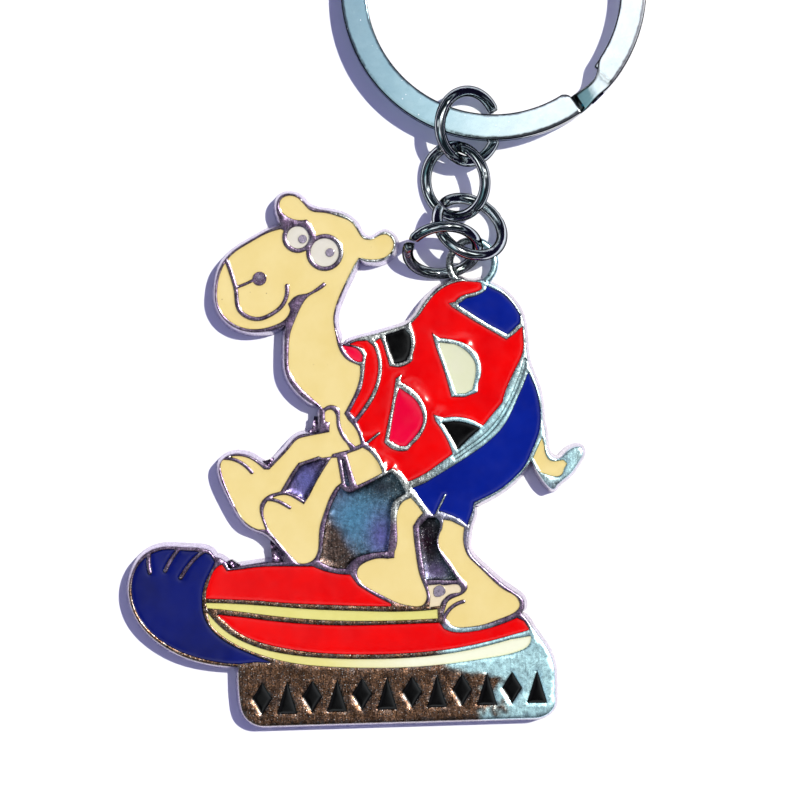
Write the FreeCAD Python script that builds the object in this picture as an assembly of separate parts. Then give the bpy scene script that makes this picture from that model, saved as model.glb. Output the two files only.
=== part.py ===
"""Souvenir keychain: an enamelled cast pendant on four jump rings and a split ring, lying flat.

The pendant is a cartoon camel in a jersey and shorts that rides a board over a plain plate.
Its face looks up (+Z) and the whole keychain lies on the surface z = 0.
Outlines are drawn in millimetres from the centre of the hanging loop's hole, x to the right
and y towards the split ring. The finished parts are shifted so that the origin is the
middle of the keychain's footprint.

An outline is a list of runs. A run of three or more points is one smooth curve through them,
and straight edges join the end of each run to the start of the next.
"""
import FreeCAD, Part
import math
import os

Vector = FreeCAD.Vector

# Pendant casting
PLATE_THICK = 3.0          # from the flat back to the tops of the ridges
SIDE_FLARE = 0.4           # the side walls lean out by this much down to the back
POCKET_DEPTH = 0.5         # enamel pockets, below the ridges
ENAMEL_SINK = 0.08         # the enamel's face lies this far below the ridges
WINDOW_DEPTH = 0.9         # bare recesses without enamel
WEB_TOP = 1.8              # the low web between the near front hoof and the board
GROOVE_DEPTH = 0.3         # the grooves of the saddle band
CUT_CLEAR = 1.0            # cutting solids stand this far out of what they cut
SHARPEST_MITRE = 0.7       # least cosine used where a corner of the outline is moved outwards

# Widths of the raised lines between and inside the enamel cells
MOUTH_LINE_WIDTH = 0.42
NOSE_LINE_WIDTH = 0.3
HOOF_LINE_WIDTH = 0.35
TOE_LINE_WIDTH = 0.4
NOTCH_LINE_WIDTH = 0.24
STICK_WIDTH = 0.3
GRIP_LINE_WIDTH = 0.42
GROOVE_WIDTH = 0.25

# Hanging loop, cast in one piece with the pendant
LOOP_HOLE_RADIUS = 1.85
LOOP_OUTER_RADIUS = 2.6
LOOP_BOTTOM = 1.3
LOOP_TOP = 2.35

# Jump rings
WIRE_RADIUS = 0.55
RING_RADIUS = 3.45         # to the middle of the wire
RING_GAP = 9.0             # degrees that the cut leaves open

# Split ring: a flat wire wound in two turns
SPLIT_OUTER_RADIUS = 15.0
SPLIT_BAND = 2.5           # radial width of the wire
SPLIT_LAYER = 1.1          # thickness of one turn
SPLIT_SLIT = 0.06          # between the turns
SPLIT_CENTRE = (2.08, 26.95)
SPLIT_TILT = 3.0           # degrees: the first jump ring props up the near side
SPLIT_CLEAR = 0.02         # between the far side and the surface
TIP_ANGLE = -55.0          # where the upper turn's free end is
STEP_ANGLE = 17.0          # the wire steps from the upper to the lower turn over this arc
STEP_SECTIONS = 8
SEAM_GAP = 0.5             # degrees between the lower turn's end and the step

# Jump rings from the split ring to the pendant: centre, plane normal, direction of the cut
JUMP_RINGS = {
    "jump_ring_1": ((-0.398, 13.395, 2.730), (0.585, -0.009, 0.811), (0.95, 0.30, 0.0)),
    "jump_ring_2": ((-1.656, 8.012, 2.531), (-0.550, -0.113, 0.827), (-0.30, 0.95, 0.0)),
    "jump_ring_3": ((-0.261, 3.538, 2.890), (0.373, 0.557, 0.742), (-0.75, 0.65, 0.0)),
    "jump_ring_4": ((-2.913, 1.242, 3.229), (0.101, -0.764, 0.637), (-0.80, 0.60, 0.0)),
}

# Plain frieze on the plate, in place of lettering
FRIEZE_START = (-20.6, -42.75)
FRIEZE_END = (6.35, -41.55)
FRIEZE_COUNT = 12
FRIEZE_HEIGHT = 3.1
FRIEZE_WIDTH = 1.9
FRIEZE_DEPTH = 0.45

OUTER_OUTLINE = [
    # muzzle, anticlockwise from the brow
    [(-18.8, 3.7), (-20, 3.2), (-22, 2.1), (-23.2, 1.35), (-24.2, 0.4), (-24.85, -0.7), (-25.2, -2.2),
     (-25.2, -3.8), (-24.75, -5.0), (-23.8, -6.05), (-22.4, -6.7), (-21, -6.82), (-19.6, -6.62)],
    # throat and chest
    [(-18.35, -6.2), (-18.42, -7.6), (-18.45, -9.0), (-18.25, -11.0), (-17.6, -12.2), (-16.6, -13.25),
     (-15.7, -13.85)],
    [(-15.0, -14.1)],
    [(-15.05, -16.65)],
    # far front leg and hoof
    [(-16.3, -16.8), (-17.3, -17.1), (-18.3, -18.2), (-19.2, -19.15), (-19.9, -19.95)],
    [(-20.9, -19.5), (-22.1, -18.85), (-23.2, -18.72), (-24.2, -19.05), (-24.8, -19.8), (-24.75, -21.0),
     (-24.1, -22.6), (-23.2, -24.3), (-22.3, -25.55), (-21.3, -26.15)],
    # near front hoof, down to the board
    [(-20.5, -26.45), (-19.6, -27.15), (-18.9, -28.0), (-18.35, -28.62)],
    [(-18.55, -29.33)],
    [(-19.9, -29.35), (-22.0, -29.62), (-23.85, -29.95)],
    [(-24.15, -29.35)],
    [(-24.7, -28.98), (-25.25, -28.85)],
    # nose of the board
    [(-25.7, -28.25), (-26.4, -28.02), (-28.2, -27.9), (-30.3, -27.85), (-31.9, -28.4), (-33.0, -29.6),
     (-33.6, -31.2), (-33.62, -32.9), (-33.2, -34.3), (-32.2, -35.9), (-30.6, -37.35), (-28.6, -38.5),
     (-26.2, -39.25), (-24.0, -39.55)],
    # plate
    [(-22.95, -39.65)],
    [(-22.9, -41.5), (-22.7, -43.4), (-22.2, -44.6), (-21.4, -45.2), (-20.4, -45.42)],
    [(6.2, -44.62), (7.2, -44.35), (7.85, -43.8), (8.1, -43.0)],
    [(8.05, -40.3), (7.85, -39.1), (7.4, -38.0), (6.6, -36.8), (5.6, -35.3)],
    # near hind hoof and leg
    [(4.85, -34.35), (5.1, -33.6), (4.9, -32.9), (4.3, -32.4), (2.85, -31.4), (1.1, -29.85),
     (0.0, -28.75), (-0.38, -28.0), (-0.42, -27.2), (-0.3, -26.3)],
    # shorts, up to the tail
    [(-0.16, -25.7), (0.12, -24.9), (0.25, -23.85)],
    [(0.9, -23.42), (2.3, -22.7), (3.85, -21.6), (5.0, -20.4), (5.76, -19.37)],
    # tail
    [(6.1, -19.97), (6.8, -21.1), (7.4, -21.85), (7.93, -22.18), (8.27, -21.8)],
    [(8.88, -21.27), (9.8, -20.45), (10.5, -19.4), (10.83, -18.6), (10.6, -18.1), (10.1, -18.06),
     (9.4, -18.4), (8.9, -18.9), (8.4, -19.25), (7.85, -19.08), (7.42, -18.5), (7.2, -17.4),
     (6.97, -16.0)],
    # back of the shorts, hump and saddle
    [(6.84, -15.2), (6.8, -14.2), (6.53, -12.6), (5.97, -11.05), (5.49, -9.84), (5.27, -8.37),
     (5.14, -6.63), (4.84, -5.16), (4.06, -3.8), (2.93, -2.69), (1.63, -2.0), (0.33, -1.56),
     (-0.53, -1.52), (-1.4, -1.65), (-2.5, -2.0), (-3.6, -2.7), (-4.7, -3.85), (-5.4, -4.9),
     (-6.1, -5.77)],
    [(-6.63, -6.1), (-8.1, -6.55), (-10.27, -7.16), (-11.5, -7.46), (-12.5, -7.95)],
    # back of the neck
    [(-12.94, -7.8), (-13.37, -6.43), (-13.5, -5.4), (-13.13, -3.92), (-12.35, -2.1), (-11.5, -0.37)],
    # ear, crown and the other ear
    [(-11.1, 0.35)],
    [(-10.4, 0.1), (-9.4, 0.08), (-8.4, 0.4), (-7.7, 1.15), (-7.52, 1.9), (-7.93, 2.75), (-8.7, 3.03),
     (-9.4, 2.63), (-10.0, 2.4), (-10.77, 2.7), (-11.4, 3.7), (-12.4, 4.6), (-13.63, 5.0),
     (-15.37, 5.3), (-16.2, 5.68), (-17.0, 6.5), (-17.9, 6.78), (-18.75, 6.57), (-19.22, 5.6),
     (-19.05, 4.6)],
]

# The low web stays inside the gap between the near front hoof and the board.
WEB = [[(-19.85, -27.3)], [(-19.6, -29.6)], [(-17.0, -29.6)], [(-18.6, -27.6)]]

HEAD = [
    [(-18.75, 3.3), (-20, 2.93), (-22, 1.84), (-23.2, 1.08), (-24.1, 0.15), (-24.78, -1.3), (-25, -2.6),
     (-24.87, -4.2), (-24.3, -5.2), (-23.2, -6.07), (-22.0, -6.45), (-20.7, -6.45), (-19.3, -6.07),
     (-18.4, -5.55), (-17.85, -4.6)],
    [(-18.05, -4.0)],
    [(-17.6, -3.45), (-16.9, -3.1), (-16.2, -2.98), (-15.2, -2.38), (-14.55, -1.88)],
    [(-14.3, -2.15), (-15.25, -2.85), (-16.05, -3.32), (-16.8, -4.35), (-17.4, -5.7), (-17.85, -7),
     (-18, -9.2), (-17.95, -10.4), (-17.45, -11.45), (-16.3, -12.75), (-15, -13.88)],
    [(-14.66, -14.28)],
    [(-14.2, -14.0), (-13.6, -13.96), (-13.06, -14.3), (-12.97, -15.2), (-12.67, -16.55), (-11.8, -17.68)],
    [(-11.47, -17.98)],
    [(-10.95, -17.75), (-11.28, -16.55), (-12.15, -15.42)],
    [(-12.55, -14.75)],
    [(-12.07, -13.88), (-11.4, -12.5), (-11.03, -11.2), (-11, -10.1)],
    [(-11.9, -9.72), (-12.7, -9.05), (-13.15, -8.2), (-13.4, -7.03), (-13.62, -5.6), (-13.26, -3.83),
     (-12.44, -1.93), (-11.57, -0.19)],
    [(-11.1, 0.52)],
    [(-10.4, 0.38), (-9.3, 0.37), (-8.4, 0.67), (-7.8, 1.37), (-7.75, 2.1), (-8.35, 2.75), (-9.06, 2.67),
     (-9.84, 2.28), (-10.6, 2.35), (-11.15, 3.0), (-11.83, 3.97), (-12.98, 4.5), (-14.6, 4.92),
     (-15.8, 5.1), (-16.4, 5.65), (-17.2, 6.42), (-18.05, 6.57), (-18.8, 6.1), (-18.85, 5.35),
     (-18.3, 4.66), (-17.3, 4.23), (-16.25, 4.25)],
    [(-15.9, 3.9), (-15.4, 2.9)],
    [(-15.0, 1.4)],
    [(-17.1, 2.5)],
]
LEFT_EYE = (-17.1, 2.5)
LEFT_EYE_RADIUS = 1.08
LEFT_EYE_RIM = 1.54
RIGHT_EYE = (-14.46, 1.02)
RIGHT_EYE_RADIUS = 1.38
RIGHT_EYE_RIM = 1.83
LEFT_PUPIL = (-16.62, 2.34)
RIGHT_PUPIL = (-13.94, 1.02)
PUPIL_RADIUS = 0.42
NOSTRIL = (-20.85, -1.55)
NOSTRIL_RADIUS = 0.68
MOUTH = [(-24.05, 0.15), (-23.5, -1.4), (-23.15, -2.8), (-22.85, -4.6), (-21.9, -5.35), (-20.9, -5.5),
         (-19.7, -5.05), (-18.65, -4.2), (-18.2, -3.2), (-18.17, -2.25)]
NOSE_LINE = [(-23.1, -2.4), (-22.2, -2.05), (-21.4, -1.65)]

FAR_FORELEG = [
    [(-14.44, -14.73), (-14.2, -14.47), (-13.75, -14.43), (-13.45, -14.73), (-13.3, -15.8), (-13.0, -16.75),
     (-12.3, -17.7)],
    [(-11.97, -18.29)],
    [(-12.84, -18.5), (-13.7, -18.72)],
    [(-13.84, -18.98), (-14.7, -19.1)],
    [(-15.1, -18.95), (-16.08, -19.29), (-17.03, -19.6)],
    [(-17.73, -20.55), (-18.8, -22.4)],
    [(-19.46, -22.58), (-20.3, -23.0), (-20.8, -23.75), (-20.8, -24.5), (-20.28, -26.13)],
    [(-21.0, -26.13), (-21.8, -25.75), (-22.6, -25.0), (-23.4, -23.55), (-24.2, -21.7), (-24.62, -20.4),
     (-24.57, -19.5), (-24.0, -19.12), (-23, -18.94), (-22.0, -19.12), (-21, -19.72), (-20.4, -20.25)],
    [(-19.9, -20.27), (-19.0, -19.35), (-17.9, -18.15), (-17.1, -17.3), (-16.3, -17.05), (-15, -16.78),
     (-14, -16.6)],
    [(-13.97, -15.69)],
    [(-14.42, -15.5)],
]
NEAR_FORELEG = [
    [(-13.8, -19.12)],
    [(-13.27, -19.1)],
    [(-13.15, -19.7), (-12.84, -21.54)],
    [(-13.35, -21.95), (-14.0, -23.05), (-14.6, -24.7), (-14.95, -25.9), (-15.04, -27.1), (-15.14, -28.25),
     (-15.5, -29.0), (-16.2, -29.42), (-17.1, -29.4)],
    [(-18.3, -28.2), (-19.3, -26.95), (-19.95, -26.2)],
    [(-20.24, -25.4), (-20.45, -24.3), (-20.07, -23.4), (-19.2, -22.9), (-18.2, -22.78), (-17.3, -23.18),
     (-16.5, -23.67)],
    [(-15.95, -22.85), (-15.1, -21.2), (-14.0, -19.42)],
]
FAR_HOOF_LINE = [(-24.3, -19.15), (-23.3, -19.3), (-22.3, -19.85), (-21.6, -20.55)]
NEAR_HOOF_LINE = [(-20.1, -23.2), (-19.1, -23.35), (-18.3, -23.75), (-17.9, -24.0)]
KNEE_WINDOW = [
    [(-16.6, -19.85), (-15.6, -19.55), (-14.95, -19.3)],
    [(-14.35, -19.45)],
    [(-14.6, -19.85), (-15.4, -21.45), (-16.43, -23.32)],
    [(-17.2, -22.8), (-18.3, -22.45)],
    [(-17.8, -21.5), (-16.95, -20.1)],
]
SLOT_WINDOW = [[(-12.8, -19.25)], [(-12.62, -19.25)], [(-12.05, -21.9)], [(-12.4, -21.85)]]
THIGH = [
    [(-12.28, -18.75)],
    [(-11.7, -18.52), (-11.2, -18.35), (-10.72, -18.12)],
    [(-10.1, -18.5), (-9.35, -19.4), (-8.85, -20.58)],
    [(-10.0, -21.2), (-11.3, -21.8)],
    [(-11.75, -20.6), (-12.2, -19.07)],
]
BELLY_WINDOW = [
    [(-12.93, -22)],
    [(-12.6, -22.35), (-11.9, -22.52), (-11.1, -22.18), (-9.6, -21.4), (-7.99, -20.54)],
    [(-7.2, -21.3), (-6.56, -22.6)],
    [(-7.4, -23.08), (-7.9, -23.75), (-8.03, -25.1), (-8.2, -27.47), (-8.3, -28.28)],
    [(-9.5, -28.38), (-10.93, -28.7), (-11.7, -29.1), (-12.4, -29.97)],
    [(-13.5, -29.9), (-14.3, -29.63), (-15, -29.2)],
    [(-14.7, -28.3), (-14.53, -26.6), (-14.1, -24.6), (-13.5, -23.2)],
]
FAR_HIND_LEG = [
    [(-6, -23.05)],
    [(-6.7, -23.37), (-7.2, -24.1), (-7.38, -25.73), (-7.6, -28.33)],
    [(-7.64, -28.94)],
    [(-8.33, -29.03), (-9.4, -29.02), (-10.4, -29.35), (-11.15, -29.95), (-11.24, -30.76), (-10.5, -31.68),
     (-9.1, -32.45), (-7.4, -33.28), (-6.0, -33.63), (-4.87, -33.53), (-4.48, -32.9), (-4.65, -31.9),
     (-5.13, -30.67), (-5.5, -28.8), (-5.73, -27.03), (-5.82, -25.8)],
    [(-5.3, -24.95), (-4.85, -24.5)],
    [(-5.3, -23.85)],
]
HIND_WINDOW = [
    [(-4.36, -25.04)],
    [(-3.58, -25.04), (-3.2, -25.6), (-3.3, -26.4), (-3.52, -27.2), (-3.35, -28.15), (-2.8, -29.2),
     (-1.5, -31.1)],
    [(-4.53, -31.06)],
    [(-4.85, -29.3), (-5.12, -27.03), (-5.18, -25.9)],
]
HEEL = [
    [(-4.36, -31.63)],
    [(-3.15, -31.54), (-1.93, -31.54), (-1.25, -31.66), (-1.1, -32.15), (-1.93, -32.4), (-2.7, -32.85),
     (-3.15, -33.62)],
    [(-4.19, -33.75)],
    [(-4.1, -32.7), (-4.27, -32.06)],
]
HEEL_SPOT = [[(-3.75, -31.93), (-2.8, -31.8), (-2.6, -32.2), (-3.3, -32.75), (-3.75, -31.93)]]
NEAR_HIND_LEG = [
    [(-2.8, -25.2)],
    [(-2.1, -25.3), (-0.8, -25.95)],
    [(-0.88, -26.6), (-0.78, -27.9), (-0.46, -28.68), (0.5, -29.68), (1.97, -31.1), (3.3, -32.15),
     (4.4, -32.84), (4.65, -33.6), (4.0, -34.33), (2.83, -34.83), (1.1, -35.44), (-0.63, -35.7),
     (-1.8, -35.63), (-2.4, -35.1)],
    [(-2.8, -34.4)],
    [(-2.5, -33.45), (-1.76, -32.84), (-0.7, -32.3), (-0.46, -31.8), (-1.07, -30.93), (-2.28, -29.2),
     (-3.2, -27.95), (-3.3, -27.1), (-2.95, -26.15)],
]
TOE_LINE = [(-2.75, -34.8), (-2.2, -33.95), (-1.4, -33.38), (-0.85, -33.2)]
SHORTS = [
    [(5.5, -10.75)],
    [(6.0, -11.8), (6.45, -13.2), (6.67, -14.86), (6.5, -16.7), (5.9, -18.25), (5.24, -19.7), (4.29, -20.84),
     (2.99, -21.97), (1.5, -22.83), (0.15, -23.45)],
    [(0, -24.3), (-0.5, -25.7)],
    [(-1.3, -25.05), (-2.2, -24.65), (-3.24, -24.28)],
    [(-3.8, -24.7)],
    [(-4.06, -24.53), (-5, -23.4), (-5.84, -22.1)],
    [(-4.6, -21.6), (-2.59, -20.37), (-0.25, -18.9), (1.6, -17.55), (3.13, -15.95), (4.1, -14.1),
     (4.98, -12.1)],
]
SHORTS_NOTCH = [(-3.5, -24.5), (-3.1, -23.7), (-2.65, -22.75)]
SADDLE_GROOVE = [(5.2, -9.5), (4.75, -11.1), (4.1, -12.7), (2.9, -15.0), (1.3, -16.9), (-0.7, -18.4),
                 (-1.7, -19.1)]
TAIL = [
    [(6.84, -17.2)],
    [(7.08, -18.0), (7.25, -18.9), (7.67, -19.4), (8.3, -19.46), (8.95, -19.34)],
    [(9.27, -19.67)],
    [(8.95, -20.2), (8.5, -20.88), (7.6, -20.82), (6.67, -20.5)],
    [(6.3, -19.8), (6, -19.1)],
    [(6.45, -18.1)],
]
JERSEY = [
    [(-6.0, -6.0)],
    [(-5.15, -5.12), (-4.37, -3.95), (-3.48, -2.95), (-2.18, -2.13), (-0.53, -1.8), (0.85, -1.97)],
    [(0.94, -2.5), (0.2, -2.87), (-0.8, -3.12), (-1.66, -3.77)],
    [(-2.3, -3.95)],
    [(-2, -4.34)],
    [(0.33, -5.8), (2.07, -6.8), (3.37, -7.54)],
    [(4.2, -6.95), (4.9, -6.25)],
    [(5, -7.5), (4.85, -9.0), (4.3, -10.2), (3.37, -12.2), (2.93, -13.65)],
    [(2.3, -14.4), (1.05, -15.95)],
    [(0.1, -15.43), (-1.2, -15.1), (-2.76, -15.17)],
    [(-3.8, -14.86)],
    [(-3.63, -15.5), (-2.7, -16.9), (-1.94, -18.7)],
    [(-3.63, -19.93), (-5, -20.84), (-6.3, -21.4)],
    [(-7.0, -20.6), (-7.87, -20.1)],
    [(-8.4, -20.4)],
    [(-8.75, -19.65), (-9.5, -18.4), (-10.45, -17.68)],
    [(-10.75, -16.9), (-11.28, -15.65)],
    [(-10.25, -14.3), (-9.3, -12.6), (-8.87, -10.9), (-8.92, -9.24), (-9.5, -7.75)],
    [(-9.0, -7.4)],
    [(-8.7, -8.1), (-8.1, -10.15)],
    [(-7.3, -10.26), (-6.6, -10.1), (-5.85, -9.59)],
    [(-5.8, -8.9), (-5.57, -7.8), (-5.75, -6.85)],
]
STICK = [(-10.5, -17.8), (-9.8, -17.25), (-9.15, -16.72)]
JERSEY_LIGHT_HOLE = [
    [(-3.95, -6.85)],
    [(-3.25, -7.33), (-1.77, -7.55), (-0.39, -8.1), (0.48, -9.07), (0.88, -10.3), (0.6, -11.75)],
    [(0.55, -12.7)],
    [(-0.73, -13.18), (-2.05, -13.15)],
    [(-2.64, -10.97), (-3.64, -8.1)],
]
JERSEY_DARK_HOLE = [
    [(-6.9, -10.9)],
    [(-7.0, -11.65)],
    [(-6.1, -12.19), (-4.9, -13.5), (-4.42, -14.87), (-4.75, -16.47), (-5.8, -17.77)],
    [(-6.3, -18.4), (-7.27, -18.46), (-8.65, -17.6)],
    [(-8.22, -15.43), (-7.78, -13.2), (-7.5, -11.3)],
]
LIGHT_PATCH = [
    [(-3.2, -7.82)],
    [(-1.77, -7.98), (-0.56, -8.68), (0.26, -9.76), (0.3, -11.15), (0, -12.4)],
    [(-0.7, -12.78), (-1.55, -12.8)],
    [(-2.4, -10.45), (-3.07, -8.55)],
]
DARK_PATCH = [
    [(-7.15, -12.27)],
    [(-5.93, -13.1), (-5.07, -14.27), (-4.84, -15.6), (-5.45, -16.8), (-6.5, -17.95)],
    [(-7.1, -17.94), (-8.13, -17.4)],
    [(-7.87, -15.6), (-7.48, -13.4)],
]
SHOULDER_PATCH = [
    [(-8.5, -7.1)],
    [(-6.63, -6.5)],
    [(-6.1, -7.15), (-6.0, -8.2), (-6.45, -9.54)],
    [(-6.97, -9.76), (-7.67, -9.85)],
    [(-8.1, -8.8), (-8.45, -7.6)],
]
FLANK_PATCH = [
    [(-3, -15.7)],
    [(-1.9, -15.55), (-0.68, -15.69), (0.75, -16.25)],
    [(-0.3, -17.15), (-1.46, -18.3)],
    [(-2.2, -17.0)],
]
HUMP_PATCH = [
    [(1.4, -2.26)],
    [(2.76, -2.9), (3.89, -3.95), (4.67, -5.16)],
    [(4.67, -5.85)],
    [(4.1, -6.4), (3.45, -7)],
    [(1.5, -5.95), (-1.4, -4.1)],
    [(-0.53, -3.47), (0.68, -3.12), (1.35, -2.7)],
]
COLLAR = [
    [(-12, -8)],
    [(-11.3, -7.7), (-10.3, -7.64)],
    [(-9.7, -8.15), (-9.34, -9.1), (-9.22, -10.4), (-9.6, -12.2), (-10.4, -13.7), (-11.47, -15.18)],
    [(-12, -14.66)],
    [(-11.2, -13.1), (-10.65, -11.4), (-10.5, -10.0), (-10.34, -9.0)],
    [(-10.77, -8.33), (-11.47, -8.1)],
]
COLLAR_LINING = [
    [(-12.72, -8.1)],
    [(-11.8, -8.24), (-11.2, -8.5), (-10.73, -9.1)],
    [(-10.8, -9.65), (-11.3, -9.66), (-12.0, -9.2), (-12.5, -8.65)],
]
BOARD_NOSE = [
    [(-25.7, -28.62), (-26.5, -28.4), (-28.2, -28.25), (-30.2, -28.15), (-31.6, -28.65), (-32.8, -29.8),
     (-33.35, -31.3), (-33.35, -32.8), (-32.9, -34.3), (-31.9, -35.8), (-30.4, -37.1), (-28.5, -38.15),
     (-26.2, -38.88), (-24.0, -39.25), (-22.8, -39.3)],
    [(-21.2, -39.12), (-19.7, -39.2)],
    [(-20.6, -38.82), (-22.6, -38.0), (-24.3, -37.1), (-25.6, -35.95), (-26.35, -34.5), (-26.5, -33),
     (-26.25, -31.5), (-25.7, -30.3), (-25.25, -29.35)],
]
GRIP_LINES = [
    [(-31.65, -28.4), (-31.75, -29.5), (-31.6, -30.4)],
    [(-28.8, -28.1), (-29.6, -29.2), (-30.1, -30.2)],
    [(-26.3, -28.3), (-27.4, -29.2), (-28.1, -30.1), (-28.6, -30.9)],
]
BOARD_TOP = [
    [(-26.12, -32.9)],
    [(-26.05, -32.1), (-25.6, -30.75), (-25.0, -29.85), (-24.5, -29.6)],
    [(-24.05, -30.22)],
    [(-22.3, -30.03), (-20.4, -29.8), (-17.8, -29.78), (-15.6, -29.78)],
    [(-14.6, -30.2), (-13.3, -30.5), (-11.95, -30.6)],
    [(-11.2, -31.6), (-9.7, -32.55), (-7.95, -33.42)],
    [(-7.95, -33.66), (-11.0, -33.62), (-14.5, -33.5), (-18, -33.35), (-21, -33.1)],
]
BOARD_STRIPE = [
    [(-26.1, -33.35)],
    [(-24, -33.4), (-20, -33.66), (-16, -33.97), (-11, -34.15), (-6.5, -34.2), (-3.4, -33.98)],
    [(-3.35, -34.85)],
    [(-6, -35.0), (-11, -35.1), (-16, -34.93), (-20, -34.55), (-23.5, -34.1), (-26.0, -33.85)],
]
BOARD_LOWER = [
    [(-25.0, -34.5)],
    [(-22.5, -34.75), (-19, -35.2), (-14, -35.55), (-8.5, -35.5), (-3.2, -35.3)],
    [(-2.75, -35.9), (-1.7, -36.25), (-0.3, -36.22), (2, -35.75), (4.4, -34.82)],
    [(5.1, -35.15), (5.6, -35.95)],
    [(3.5, -36.55), (1, -37.2), (-2, -37.8), (-6, -38.23), (-11, -38.38), (-15.5, -38.18), (-19, -37.65),
     (-21.6, -36.9), (-23.5, -35.85)],
]
BOARD_EDGE = [
    [(-26.0, -34.25)],
    [(-25.7, -35.4), (-24.6, -36.5), (-22.9, -37.55), (-20.5, -38.5), (-18, -39.15), (-15, -39.52),
     (-10, -39.7), (-6, -39.62), (-2, -39.25), (1.5, -38.72), (4.6, -38.03), (5.5, -37.5), (5.75, -36.6)],
    [(3.8, -36.93), (1, -37.68), (-2, -38.28), (-6, -38.72), (-11, -38.87), (-15.5, -38.7),
     (-19.2, -38.2), (-22, -37.35), (-24.2, -36.1), (-25.5, -34.85)],
]


def wire_from(outline, height):
    """Closed wire through the runs of an outline at one height."""
    edges = []
    last = None
    first = Vector(outline[0][0][0], outline[0][0][1], height)
    for run in outline:
        points = [Vector(x, y, height) for x, y in run]
        if last is not None and last.distanceToPoint(points[0]) > 1e-6:
            edges.append(Part.makeLine(last, points[0]))
        if len(points) == 2:
            edges.append(Part.makeLine(points[0], points[1]))
        elif len(points) > 2:
            curve = Part.BSplineCurve()
            curve.interpolate(points)
            edges.append(curve.toShape())
        last = points[-1]
    if last.distanceToPoint(first) > 1e-6:
        edges.append(Part.makeLine(last, first))
    return Part.Wire(edges)


def prism(outline, bottom, top):
    """Upright solid over an outline."""
    return Part.Face(wire_from(outline, bottom)).extrude(Vector(0, 0, top - bottom))


def disc(centre, radius, bottom, top):
    return Part.makeCylinder(radius, top - bottom, Vector(centre[0], centre[1], bottom))


def stroke(path, width, bottom, top):
    """Upright wall of even width with round ends along a smooth path."""
    curve = Part.BSplineCurve()
    curve.interpolate([Vector(x, y, bottom) for x, y in path])
    steps = 4 * len(path)
    left = []
    right = []
    for i in range(steps + 1):
        at = curve.FirstParameter + (curve.LastParameter - curve.FirstParameter) * i / steps
        along = Vector(*curve.tangent(at)[0]).normalize()
        side = Vector(-along.y, along.x, 0) * (width / 2)
        left.append(curve.value(at) + side)
        right.append(curve.value(at) - side)
    start = curve.value(curve.FirstParameter)
    start_tip = start - Vector(*curve.tangent(curve.FirstParameter)[0]).normalize() * (width / 2)
    end = curve.value(curve.LastParameter)
    end_tip = end + Vector(*curve.tangent(curve.LastParameter)[0]).normalize() * (width / 2)
    left_curve = Part.BSplineCurve()
    left_curve.interpolate(left)
    right_curve = Part.BSplineCurve()
    right_curve.interpolate(list(reversed(right)))
    outline = Part.Wire([
        left_curve.toShape(),
        Part.Arc(left[-1], end_tip, right[-1]).toShape(),
        right_curve.toShape(),
        Part.Arc(right[0], start_tip, left[0]).toShape(),
    ])
    return Part.Face(outline).extrude(Vector(0, 0, top - bottom))


def flared(outline, amount):
    """The outline moved outwards by an amount, point by point. It runs anticlockwise."""
    points = [point for run in outline for point in run]
    count = len(points)
    moved = []
    for i, (x, y) in enumerate(points):
        x0, y0 = points[i - 1]
        x1, y1 = points[(i + 1) % count]
        before = Vector(y - y0, x0 - x, 0).normalize()
        after = Vector(y1 - y, x - x1, 0).normalize()
        out = (before + after).normalize()
        reach = amount / max(out.dot(before), SHARPEST_MITRE)
        moved.append((x + out.x * reach, y + out.y * reach))
    result = []
    for run in outline:
        result.append(moved[:len(run)])
        moved = moved[len(run):]
    return result


def casting_blank():
    """The pendant's body with leaning sides, its low web and its hanging loop."""
    base = wire_from(flared(OUTER_OUTLINE, SIDE_FLARE), 0)
    rim = wire_from(OUTER_OUTLINE, PLATE_THICK)
    body = Part.makeLoft([base, rim], True, True)
    web = prism(WEB, 0, WEB_TOP)
    loop = disc((0, 0), LOOP_OUTER_RADIUS, LOOP_BOTTOM, LOOP_TOP)
    hole = disc((0, 0), LOOP_HOLE_RADIUS, LOOP_BOTTOM - CUT_CLEAR, LOOP_TOP + CUT_CLEAR)
    return body.fuse([web, loop]).cut(hole)


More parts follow.
